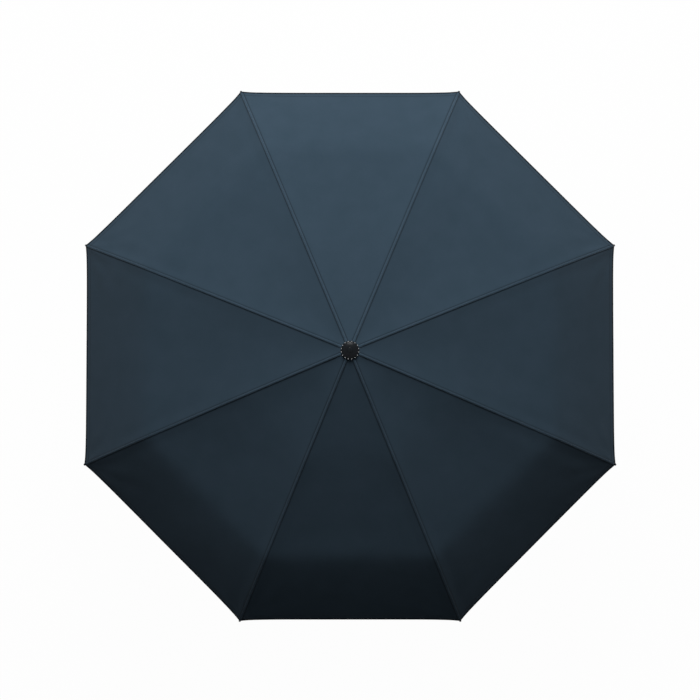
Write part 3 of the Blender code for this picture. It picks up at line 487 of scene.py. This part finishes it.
def clothPatch(name, rib, side, start, end, widths, lift=0.0, leans=(0.0, 0.0)):
    # A sheet between two cuts square to the rib, at distance start and end along it; end may
    # be "hem". widths gives the columns' places, and leans how far each cut leans inwards.
    rows = max(2, int(round((ribEnd(end) - start) / canopy["rowStep"])))
    settleRounds = 12  # a row's place and its distance from the rib depend on each other
    squeezeFrom = seamEnd * 1.7  # where a panel is narrower, its seam columns move together
    placeOf = {}
    bm = bmesh.new()
    uvLayer = bm.loops.layers.uv.new("cut")
    seamLayer = bm.verts.layers.float.new("fromSeam")
    hemLayer = bm.verts.layers.float.new("fromHem")
    bmesh.ops.create_grid(bm, x_segments=rows, y_segments=len(widths) - 1, size=0.5)
    for v in bm.verts:
        u = v.co.x + 0.5
        column = int(round((v.co.y + 0.5) * (len(widths) - 1)))
        absolute, share = widths[column]
        across = 0.0
        for _ in range(settleRounds):
            first = start - leans[0] * across
            last = hemRadius(across) - across * slant if end == "hem" else end - leans[1] * across
            along = first + u * (last - first)
            width = along * slant
            near = absolute * min(1.0, width / squeezeFrom)
            across = near + share * (width - near)
        q = along + across * slant
        v.co = clothPoint(rib, side, q, across, lift)
        v[seamLayer] = across
        v[hemLayer] = max(hemRadius(across) - q, 0.0)
        placeOf[v] = (q, across)
    for face in bm.faces:
        for loop in face.loops:
            loop[uvLayer].uv = placeOf[loop.vert]
    bmesh.ops.recalc_face_normals(bm, faces=bm.faces)
    if sum(face.normal.z for face in bm.faces) < 0:
        bmesh.ops.reverse_faces(bm, faces=bm.faces)
    area = sum(face.calc_area() for face in bm.faces)
    obj = meshObject(name, bm, [navyPongee])
    solid = obj.modifiers.new("thickness", "SOLIDIFY")
    solid.thickness = canopy["thickness"]
    solid.offset = 0.0
    applyModifiers(obj, softAngle)
    return obj, area


def applyModifiers(obj, smoothAngle):
    graph = bpy.context.evaluated_depsgraph_get()
    mesh = bpy.data.meshes.new_from_object(obj.evaluated_get(graph))
    obj.modifiers.clear()
    obj.data = mesh
    mesh.shade_smooth()
    mesh.set_sharp_from_angle(angle=math.radians(smoothAngle))


def panelWidths():
    # (fixed distance from the rib, share of what is left) for each column
    narrow = [(value * mm, 0.0) for value in canopy["seamColumns"]]
    count = canopy["panelColumns"]
    spread = canopy["columnSpread"]
    return narrow + [(seamEnd, (i / count) ** spread) for i in range(1, count + 1)]


stitching = {
    "length": 2.3 * mm,
    "pitch": 3.2 * mm,
    "radius": 0.16 * mm,
    "fromRib": 1.3 * mm,        # the row along each side of a rib
    "firstShare": 0.3,          # the first stitch starts that share of a pitch past the cut
    "fromHem": 7.5 * mm,
    "hemStart": 3.0 * mm,       # from the rib
    "hemSpare": 4.0 * mm,       # left without stitches, of each half of the hem
    "sides": 6,
}


def addStitches(obj, rib, side, route):
    # short thread segments from place to place along a route of (radius, distance from rib)
    bm = bmesh.new()
    bm.from_mesh(obj.data)
    obj.data.materials.append(navyThread)
    lift = canopy["thickness"] / 2 + stitching["radius"] * 0.4  # sunk a little into the cloth
    for (startQ, startAcross), (endQ, endAcross) in route:
        start = clothPoint(rib, side, startQ, startAcross, lift)
        along = clothPoint(rib, side, endQ, endAcross, lift) - start
        turn = along.to_track_quat("Z", "Y").to_matrix().to_4x4()
        made = bmesh.ops.create_cone(bm, cap_ends=True, segments=stitching["sides"],
                                     radius1=stitching["radius"], radius2=stitching["radius"],
                                     depth=stitching["length"],
                                     matrix=Matrix.Translation(start + along / 2) @ turn)
        for face in {face for v in made["verts"] for face in v.link_faces}:
            face.material_index = 1
            face.smooth = True
    bm.to_mesh(obj.data)
    bm.free()


def seamRoute(start, end):
    count = int((end - start) / stitching["pitch"])
    first = start + stitching["pitch"] * stitching["firstShare"]
    places = [first + stitching["pitch"] * i for i in range(count)]
    across = stitching["fromRib"]
    return [((q, across), (q + stitching["length"], across)) for q in places]


def hemRoute():
    half = rimRadius * math.sin(halfPanel) * math.cos(halfPanel)
    count = int((half - stitching["hemSpare"]) / stitching["pitch"])
    places = [stitching["hemStart"] + stitching["pitch"] * i for i in range(count)]
    return [((hemRadius(a) - stitching["fromHem"], a),
             (hemRadius(a + stitching["length"]) - stitching["fromHem"],
              a + stitching["length"])) for a in places]


bendStart = hingeRadius * math.cos(halfPanel) ** 2  # where the bend meets a panel's middle
# Each panel's half is cut into bands that move with the rib's sections: slope is the rib's when
# open, keep the width left when the canopy is closed, and tilt turns the way the band gathers.
bands = [
    {"name": "inner", "body": "top_rib", "start": canopy["collarReach"], "end": elbowRadius,
     "slope": math.radians(14), "tilt": 0.0, "keep": 0.066, "leans": (0.0, 0.0)},
    {"name": "middle", "body": "middle_rib", "start": elbowRadius, "end": bendStart,
     "slope": math.radians(17), "tilt": 0.0, "keep": 0.034, "leans": (0.0, 0.0)},
    {"name": "bend", "body": "middle_rib", "start": bendStart, "end": hingeRadius,
     "slope": math.radians(17), "tilt": math.radians(3.8), "keep": 0.034,
     "leans": (0.0, 0.09)},
    {"name": "outer", "body": "outer_rib", "start": hingeRadius, "end": "hem",
     "slope": math.radians(34), "tilt": 0.0, "keep": 0.06, "leans": (0.09, 0.0)},
]
widths = panelWidths()
for rib in range(ribCount):
    for side, letter in ((1, "a"), (-1, "b")):
        for band in bands:
            body = f"{band['body']}_{rib + 1}"
            name = f"cloth_{band['name']}_{rib + 1}{letter}"
            piece, area = clothPatch(name, rib, side, band["start"], band["end"], widths,
                                     leans=band["leans"])
            route = seamRoute(band["start"], ribEnd(band["end"]))
            if band["end"] == "hem":
                route += hemRoute()
            addStitches(piece, rib, side, route)
            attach(piece, body)
            anchor = clothPoint(rib, side, band["start"], 0.0)
            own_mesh(piece)
            if (rib, letter, band["name"]) == (0, "a", "inner"):
                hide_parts("canopy_cover")
print("canopy panels made")


def clothStrip(name, rib, start, end, columns, lift=0.0):
    # one sheet over both sides of a rib
    bm = bmesh.new()
    area = 0.0
    for side in (1, -1):
        piece, share = clothPatch(f"{name}{side}", rib, side, start, end, columns, lift)
        bm.from_mesh(piece.data)
        bpy.data.objects.remove(piece)
        area += share
    strip = meshObject(name, bm, [navyPongee])
    return strip, area


# the cloth round the notch, which bends between the crown and each rib
collarWidths = [(0.0, i / canopy["collarColumns"]) for i in range(canopy["collarColumns"] + 1)]
for rib in range(ribCount):
    collar, area = clothStrip(f"cloth_crown_{rib + 1}", rib, profile[0][0],
                              canopy["collarReach"], collarWidths)
    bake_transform(collar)

# reinforcing patches sewn under the cloth where it folds over the elbows and hinges
patch = {"reach": 14.0 * mm, "bendReach": 9.0 * mm, "halfWidth": 6.5 * mm, "columns": 6,
         "lift": -0.45 * mm}
patchWidths = [(patch["halfWidth"] * i / patch["columns"], 0.0)
               for i in range(patch["columns"] + 1)]
for rib in range(ribCount):
    for name, inner, outer, middle in (("elbow", "top_rib", "middle_rib", elbowRadius),
                                       ("hinge", "middle_rib", "outer_rib", hingeRadius)):
        piece, area = clothStrip(f"{name}_patch_{rib + 1}", rib, middle - patch["reach"],
                                 middle + patch["reach"], patchWidths, patch["lift"])
        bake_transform(piece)
print("crown cloth and patches made")


finishes = {
    "handle_grip": softTouch, "handle_core": mouldedNylon, "handle_end_cap": glossAbs,
    "handle_collar": platedTube, "push_button": glossAbs, "lower_tube": platedTube,
    "mid_tube": platedTube, "mid_tube_bush": mouldedNylon, "upper_tube": platedTube,
    "upper_tube_bush": mouldedNylon, "top_notch": mouldedNylon, "notch_wire": zincWire,
    "top_cap": glossAbs, "runner": mouldedNylon, "runner_wire": zincWire,
    "runner_sleeve": platedTube, "main_spring": zincWire, "button_spring": zincWire,
}
familyFinishes = {"top_rib": blackSteel, "stretcher": blackSteel, "control_link": zincWire,
                  "middle_rib": rolledAluminium, "outer_rib": fibreRod}
for name, node in nodes.items():
    family = name.rsplit("_", 1)[0]
    mat = finishes.get(name) or familyFinishes.get(family)
    if mat:
        node.data.materials.clear()
        node.data.materials.append(mat)
print("CAD nodes painted")


def coilShape(radius, wire, low, high, turns, steps=20, sides=8):
    # a wire coiled about Z, with that many steps in each turn
    bm = bmesh.new()
    ring = bmesh.ops.create_circle(bm, cap_ends=False, radius=wire, segments=sides)["verts"]
    bmesh.ops.rotate(bm, matrix=Matrix.Rotation(math.pi / 2, 3, "X"), verts=ring)
    bmesh.ops.translate(bm, vec=(radius, 0, low), verts=ring)
    edges = list(bm.edges)
    count = int(turns * steps)
    bmesh.ops.spin(bm, geom=ring + edges, cent=(0, 0, 0), axis=(0, 0, 1),
                   angle=2 * math.pi * turns, steps=count,
                   dvec=(0, 0, (high - low) / count), use_merge=False)
    bmesh.ops.holes_fill(bm, edges=[e for e in bm.edges if e.is_boundary], sides=sides)
    bmesh.ops.recalc_face_normals(bm, faces=bm.faces)
    return bm


# Domed rivet heads over the pins of each rib, and threads that tie the cloth to it.
rivet = {"radius": 1.15 * mm, "dome": 0.5 * mm, "face": 1.6 * mm}
tie = {"shares": (0.3, 0.68), "radius": 1.95 * mm, "thread": 0.22 * mm, "turns": 3,
       "spacing": 0.42 * mm}


def addRivet(bm, joint):
    place = Vector(joint["pos_m"])
    axis = Vector(joint["axis"]).normalized()
    for side in (1, -1):
        turn = (axis * side).to_track_quat("Z", "Y").to_matrix().to_4x4()
        shape = Matrix.Diagonal((rivet["radius"], rivet["radius"], rivet["dome"], 1.0))
        bmesh.ops.create_uvsphere(bm, u_segments=16, v_segments=8, radius=1.0,
                                  matrix=Matrix.Translation(place + axis * side * rivet["face"])
                                  @ turn @ shape)


def addTie(bm, place, along):
    turn = along.to_track_quat("Z", "Y").to_matrix().to_4x4()
    for i in range(tie["turns"]):
        ring = bmesh.ops.create_circle(bm, cap_ends=False, radius=tie["thread"], segments=6)
        verts = ring["verts"]
        edges = list({edge for v in verts for edge in v.link_edges})
        bmesh.ops.rotate(bm, matrix=Matrix.Rotation(math.pi / 2, 3, "X"), verts=verts)
        bmesh.ops.translate(bm, vec=(tie["radius"], 0, 0), verts=verts)
        old = set(bm.verts) - set(verts)
        bmesh.ops.spin(bm, geom=verts + edges, cent=(0, 0, 0), axis=(0, 0, 1),
                       angle=2 * math.pi, steps=24, use_merge=True)
        made = [v for v in bm.verts if v not in old]
        offset = (i - (tie["turns"] - 1) / 2) * tie["spacing"]
        bmesh.ops.transform(bm, matrix=Matrix.Translation(place + along * offset) @ turn,
                            verts=made)
    bmesh.ops.recalc_face_normals(bm, faces=bm.faces)


for rib in range(1, ribCount + 1):
    bm = bmesh.new()
    addRivet(bm, joints[f"stretcher_fold_{rib}"])
    addRivet(bm, joints[f"elbow_fold_{rib}"])
    finishPiece(meshObject(f"elbow_rivets_{rib}", bm, [zincWire]), f"top_rib_{rib}")
    bm = bmesh.new()
    addRivet(bm, joints[f"tip_fold_{rib}"])
    finishPiece(meshObject(f"hinge_rivets_{rib}", bm, [zincWire]), f"middle_rib_{rib}")
    bm = bmesh.new()
    inner = Vector(joints[f"elbow_fold_{rib}"]["pos_m"])
    outer = Vector(joints[f"tip_fold_{rib}"]["pos_m"])
    for share in tie["shares"]:
        addTie(bm, inner.lerp(outer, share), (outer - inner).normalized())
    finishPiece(meshObject(f"cloth_ties_{rib}", bm, [navyThread], 60.0), f"middle_rib_{rib}")
print("rivets and ties made")


def millimetres(name):
    # lowest and highest point of a round node, and its radius
    low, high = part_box(name)
    return low.z / mm, high.z / mm, high.x / mm


# The top cap: a domed disc with a toothed rim and a shallow ring round its middle.
cap = {"teeth": 16, "toothDepth": 1.25, "toothReach": 3.2, "stud": 5.8, "gap": 0.35,
       "rimHeight": 1.9, "edge": 0.25, "boss": 4.4, "bossEdge": 0.5, "domeRings": 12,
       "steps": 192}
capLow, capHigh, capRadius = millimetres("top_cap")
capFoot = millimetres("upper_tube")[1] + cap["gap"]
capEdge = capFoot + cap["rimHeight"]
dome = capHigh - capEdge
outline = [(0.0, capLow), (cap["stud"] - 0.4, capLow), (cap["stud"], capLow + 0.4),
           (cap["stud"], capFoot), (capRadius - 0.5, capFoot), (capRadius, capFoot + 0.45),
           (capRadius, capEdge - 0.7), (capRadius - cap["edge"], capEdge - cap["edge"])]
domeOuter = capRadius - 0.6
domeInner = cap["boss"] + cap["bossEdge"]
for i in range(cap["domeRings"]):
    r = domeOuter + (domeInner - domeOuter) * i / (cap["domeRings"] - 1)
    outline.append((r, capEdge + dome * (1 - (r / capRadius) ** 2) ** 0.8 * 0.97))
ringHeight = outline[-1][1]
outline += [(cap["boss"] + 0.2, ringHeight - 0.25), (cap["boss"], ringHeight - 0.05),
            (cap["boss"] - cap["bossEdge"], ringHeight + 0.2), (2.0, capHigh - 0.05),
            (0.0, capHigh)]
bm = bmesh.new()
spunPiece(bm, [(r * mm, z * mm) for r, z in outline], cap["steps"], closed=False)
toothRoot = capRadius - cap["toothReach"]
for v in bm.verts:
    r = math.hypot(v.co.x, v.co.y) / mm
    if r > toothRoot:
        turn = math.atan2(v.co.y, v.co.x) * cap["teeth"]
        valley = max(0.0, -math.cos(turn)) ** 1.5
        depth = cap["toothDepth"] * valley * smoothStep(toothRoot, capRadius, r)
        scale = (r - depth) / r
        v.co.x *= scale
        v.co.y *= scale
topCap = meshObject("top_cap_toothed", bm, [glossAbs], turnedAngle)
finishPiece(topCap, "crown", "top_cap")

# a plated washer under the cap, which shows between its teeth
washer = {"bore": 8.2, "inset": 0.35, "below": 0.3, "thickness": 0.25}
washerLow = capFoot - washer["below"]
washerRadius = capRadius - washer["inset"]
washerHigh = washerLow + washer["thickness"]
turnedPiece("cap_washer", [(washer["bore"], washerLow), (washerRadius, washerLow),
                           (washerRadius, washerHigh), (washer["bore"], washerHigh)],
            96, platedTube, "crown")


# The telescopic shaft: drawn tubes, the two lower ones with a swaged stop ring at the top end.
shaft = {"wall": 0.5, "chamfer": 0.15, "swageHeight": 3.9, "ringHeight": 2.8, "steps": 64,
         "tubes": (("upper_tube", "crown", 7.0, False), ("mid_tube", "mid_shaft", 5.5, True),
                   ("lower_tube", "handle", 4.0, True))}
for name, body, radius, ringed in shaft["tubes"]:
    low, high, widest = millimetres(name)
    bore = radius - shaft["wall"]
    outline = [(bore, low), (radius - shaft["chamfer"], low), (radius, low + 0.2)]
    if ringed:
        ringFoot = high - shaft["ringHeight"]
        outline += [(radius, high - shaft["swageHeight"]), (widest - 0.1, ringFoot - 0.3),
                    (widest, ringFoot), (widest, high - 0.3),
                    (widest - shaft["chamfer"], high)]
    else:
        outline += [(radius, high - 0.2), (radius - shaft["chamfer"], high)]
    outline += [(bore, high)]
    turnedPiece(f"{name}_drawn", outline, shaft["steps"], platedTube, body, name)

# The sleeve that carries the runner: turned, with a rolled flare at its foot and a groove
# near its top.
sleeve = {"bore": 8.9, "flare": 1.2, "lip": 0.4, "lipHeight": 0.9, "grooveDepth": 0.3,
          "grooveFoot": 1.6, "grooveTop": 0.8, "steps": 72}
low, high, flared = millimetres("runner_sleeve")
neck = flared - sleeve["flare"]
grooveFoot = high - sleeve["grooveFoot"]
grooveTop = high - sleeve["grooveTop"]
outline = [(sleeve["bore"], low), (flared - sleeve["lip"], low), (flared, low + sleeve["lip"]),
           (flared, low + sleeve["lipHeight"]), (flared - 0.3, low + 1.5),
           (neck + 0.2, low + 2.3), (neck, low + 3.0), (neck, grooveFoot),
           (neck - sleeve["grooveDepth"], (grooveFoot + grooveTop) / 2), (neck, grooveTop),
           (neck, high - 0.2), (neck - 0.2, high), (sleeve["bore"], high)]
turnedPiece("runner_sleeve_turned", outline, sleeve["steps"], platedTube, "runner_body",
            "runner_sleeve")
print("cap, tubes and sleeve made")

# The grip: a moulded rubber sleeve with a waist, three grooves near its foot and a window
# for the button.
grip = {"bottom": 4.3, "top": 74.0, "radius": 15.0, "waist": 1.0, "bore": 11.3, "lip": 70.6,
        "mouth": 8.1, "grooves": (11.0, 14.5, 18.0), "grooveDepth": 0.55, "grooveWidth": 0.45,
        "shoulder": 2.2, "window": 5.8, "windowDepth": 24.0, "windowFrom": 20.0, "steps": 96}


def gripRadius(z):
    share = (z - grip["bottom"]) / (grip["top"] - grip["bottom"])
    radius = grip["radius"] - grip["waist"] * math.sin(math.pi * share) ** 2
    for groove in grip["grooves"]:
        radius -= grip["grooveDepth"] * math.exp(-((z - groove) / grip["grooveWidth"]) ** 2)
    return radius


outline = [(grip["bore"], grip["bottom"]), (grip["radius"] - 0.3, grip["bottom"])]
z = grip["bottom"] + 0.3
fineStep, plainStep, plainFrom = 0.35, 1.4, 20.0  # rings close together where the grooves are
while z < grip["top"] - grip["shoulder"] - 0.2:
    outline.append((gripRadius(z), z))
    z += fineStep if z < plainFrom else plainStep
shoulderSteps = 6
for i in range(shoulderSteps + 1):
    turn = math.pi / 2 * i / shoulderSteps
    outline.append((grip["radius"] - grip["shoulder"] * (1 - math.cos(turn)) - 0.05,
                    grip["top"] - grip["shoulder"] * (1 - math.sin(turn))))
outline += [(grip["mouth"] + 0.5, grip["top"]), (grip["mouth"], grip["top"] - 0.4),
            (grip["mouth"], grip["lip"]), (grip["bore"], grip["lip"])]
bm = bmesh.new()
spunPiece(bm, [(r * mm, z * mm) for r, z in outline], grip["steps"])
gripPiece = meshObject("handle_grip_moulded", bm, [softTouch], turnedAngle)
buttonLow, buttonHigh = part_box("push_button")
bm = bmesh.new()
bmesh.ops.create_cone(bm, cap_ends=True, segments=64, radius1=grip["window"] * mm,
                      radius2=grip["window"] * mm, depth=grip["windowDepth"] * mm)
moveAll(bm, Matrix.Translation((0, -grip["windowFrom"] * mm, (buttonLow.z + buttonHigh.z) / 2))
        @ Matrix.Rotation(math.pi / 2, 4, "X"))
window = meshObject("window", bm, [softTouch])
cut = gripPiece.modifiers.new("window", "BOOLEAN")
cut.object = window
cut.solver = "EXACT"
applyModifiers(gripPiece, turnedAngle)
bpy.data.objects.remove(window)
finishPiece(gripPiece, "handle", "handle_grip")

# the button: a domed cap with a raised ring and a dished middle. The rim's points are
# (in from the edge, down from the top).
button = {"side": 1.0, "dish": 0.65, "steps": 64,
          "rim": ((0.15, 0.45), (0.5, 0.1), (0.9, 0.0), (1.3, 0.1), (1.7, 0.4), (2.6, 0.55),
                  (3.8, 0.62))}
depth = (buttonHigh.y - buttonLow.y) / mm
radius = buttonHigh.x / mm
outline = [(0.0, 0.0), (radius, 0.0), (radius, depth - button["side"])]
outline += [(radius - inset, depth - drop) for inset, drop in button["rim"]]
outline += [(0.0, depth - button["dish"])]
bm = bmesh.new()
spunPiece(bm, [(r * mm, z * mm) for r, z in outline], button["steps"], closed=False)
moveAll(bm, Matrix.Translation((0, buttonHigh.y, (buttonLow.z + buttonHigh.z) / 2))
        @ Matrix.Rotation(math.pi / 2, 4, "X"))
finishPiece(meshObject("push_button_dished", bm, [glossAbs], turnedAngle), "button",
            "push_button")

# the end cap: a polished foot with a soft edge and a shallow dish underneath
endCap = {"outline": [(0.0, 0.5), (9.5, 0.5), (10.3, 0.1), (11.0, 0.0), (14.0, 0.0),
                      (14.6, 0.25), (15.0, 0.9), (15.0, 3.5), (14.8, 4.0), (11.0, 4.0),
                      (11.0, 7.6), (10.8, 7.7), (0.0, 7.7)], "steps": 96}
turnedPiece("handle_end_cap_moulded", endCap["outline"], endCap["steps"], glossAbs, "handle",
            "handle_end_cap", closed=False)

# the collar in the grip's mouth, turned with a rolled lip
collar = {"outline": [(4.35, 70.3), (7.6, 70.3), (7.8, 70.5), (7.8, 74.2), (7.65, 74.5),
                      (7.3, 74.6), (4.9, 74.6), (4.5, 74.45), (4.35, 74.1)], "steps": 72}
turnedPiece("handle_collar_turned", collar["outline"], collar["steps"], platedTube, "handle",
            "handle_collar")
print("handle made")


# Both springs are coiled in the box of the CAD node that they replace.
mainCoil = {"wire": 0.4 * mm, "turns": 23}
low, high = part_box("main_spring")
bm = coilShape(high.x - mainCoil["wire"], mainCoil["wire"], low.z + mainCoil["wire"],
               high.z - mainCoil["wire"], mainCoil["turns"])
mainSpring = meshObject("main_spring_coil", bm, [zincWire])
finishPiece(mainSpring, "handle", "main_spring")
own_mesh(mainSpring)

buttonCoil = {"wire": 0.3 * mm, "turns": 3}
low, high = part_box("button_spring")
bm = coilShape((high.x - low.x) / 2 - buttonCoil["wire"], buttonCoil["wire"],
               -(high.y - buttonCoil["wire"]), -(low.y + buttonCoil["wire"]),
               buttonCoil["turns"])
moveAll(bm, Matrix.Translation((0, 0, (low.z + high.z) / 2)) @ Matrix.Rotation(math.pi / 2, 4, "X"))
buttonSpring = meshObject("button_spring_coil", bm, [zincWire])
finishPiece(buttonSpring, "handle", "button_spring")
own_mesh(buttonSpring)
print("springs made")


# A pale floor that the camera sees as lit backdrop, and that can be looked through from below.
stage = {"floorColour": "e8e8e8", "floorHalf": 6.0, "floorShown": 0.98, "ambient": 0.07}
floorMat, tree, shader = newMaterial("paleFloorPaint", {"Roughness": 0.9,
                                                        "Specular IOR Level": 0.0})
shader.inputs["Base Color"].default_value = toLinear(stage["floorColour"])
glow = addNode(tree, "ShaderNodeEmission", {}, {"Color": (1, 1, 1, 1), "Strength": 1.0})
path = addNode(tree, "ShaderNodeLightPath")
seen = addNode(tree, "ShaderNodeMath", {"operation": "MULTIPLY"},
               {0: path.outputs["Is Camera Ray"], 1: stage["floorShown"]})
lit = addNode(tree, "ShaderNodeMixShader", {},
              {0: seen.outputs[0], 1: shader.outputs[0], 2: glow.outputs[0]})
clear = addNode(tree, "ShaderNodeBsdfTransparent")
side = addNode(tree, "ShaderNodeNewGeometry")
final = addNode(tree, "ShaderNodeMixShader", {},
                {0: side.outputs["Backfacing"], 1: lit.outputs[0], 2: clear.outputs[0]})
tree.links.new(final.outputs[0], tree.nodes["Material Output"].inputs["Surface"])
bm = bmesh.new()
bmesh.ops.create_grid(bm, x_segments=1, y_segments=1, size=stage["floorHalf"])
floor = meshObject("floor", bm, [floorMat])
floor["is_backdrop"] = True

world = bpy.data.worlds.new("studio")
bpy.context.scene.world = world
world.use_nodes = True
tree = world.node_tree
background = tree.nodes["Background"]
path = addNode(tree, "ShaderNodeLightPath")
mirrored = addNode(tree, "ShaderNodeMath", {"operation": "MAXIMUM"},
                   {0: path.outputs["Is Camera Ray"], 1: path.outputs["Is Glossy Ray"]})
anySeen = addNode(tree, "ShaderNodeMath", {"operation": "MAXIMUM"},
                  {0: mirrored.outputs[0], 1: path.outputs["Is Transmission Ray"]})
strength = addNode(tree, "ShaderNodeMapRange", {},
                   {"Value": anySeen.outputs[0], "To Min": stage["ambient"], "To Max": 1.0})
tree.links.new(strength.outputs[0], background.inputs["Strength"])
background.inputs["Color"].default_value = (1, 1, 1, 1)

# one large softbox beyond the canopy's far side (+Y), so that the near panels fall into shade
key = {"azimuth": 180, "elevation": 40, "distance": 2.6, "size": 1.2, "watts": 75,
       "aimHeight": 0.4}
lightData = bpy.data.lights.new("keySoftbox", "AREA")
lightData.shape = "SQUARE"
lightData.size = key["size"]
lightData.energy = key["watts"]
softbox = bpy.data.objects.new("keySoftbox", lightData)
bpy.context.scene.collection.objects.link(softbox)
azimuth, elevation = math.radians(key["azimuth"]), math.radians(key["elevation"])
back = Vector((math.sin(azimuth) * math.cos(elevation), -math.cos(azimuth) * math.cos(elevation),
               math.sin(elevation)))
softbox.location = Vector((0, 0, key["aimHeight"])) + back * key["distance"]
softbox.rotation_euler = (-back).to_track_quat("-Z", "Y").to_euler()

# the camera looks down on the cap from almost straight above
view = {"tilt": math.radians(2.4), "distance": 3.0, "width": 1.213, "sensor": 36.0}
camera = bpy.data.objects.new("camera", bpy.data.cameras.new("camera"))
bpy.context.scene.collection.objects.link(camera)
apex = Vector((0, 0, cadHigh.z))
away = Vector((0, -math.sin(view["tilt"]), math.cos(view["tilt"])))
camera.location = apex + away * view["distance"]
camera.rotation_euler = (view["tilt"], 0, 0)
rimDrop = cadHigh.z - profile[-1][1]  # the width is what it sees at the canopy's corners
camera.data.sensor_width = view["sensor"]
camera.data.lens = view["sensor"] * (view["distance"] + rimDrop) / view["width"]
bpy.context.scene.camera = camera
bpy.context.scene.view_settings.view_transform = "Standard"
print("stage lit")

low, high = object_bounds()
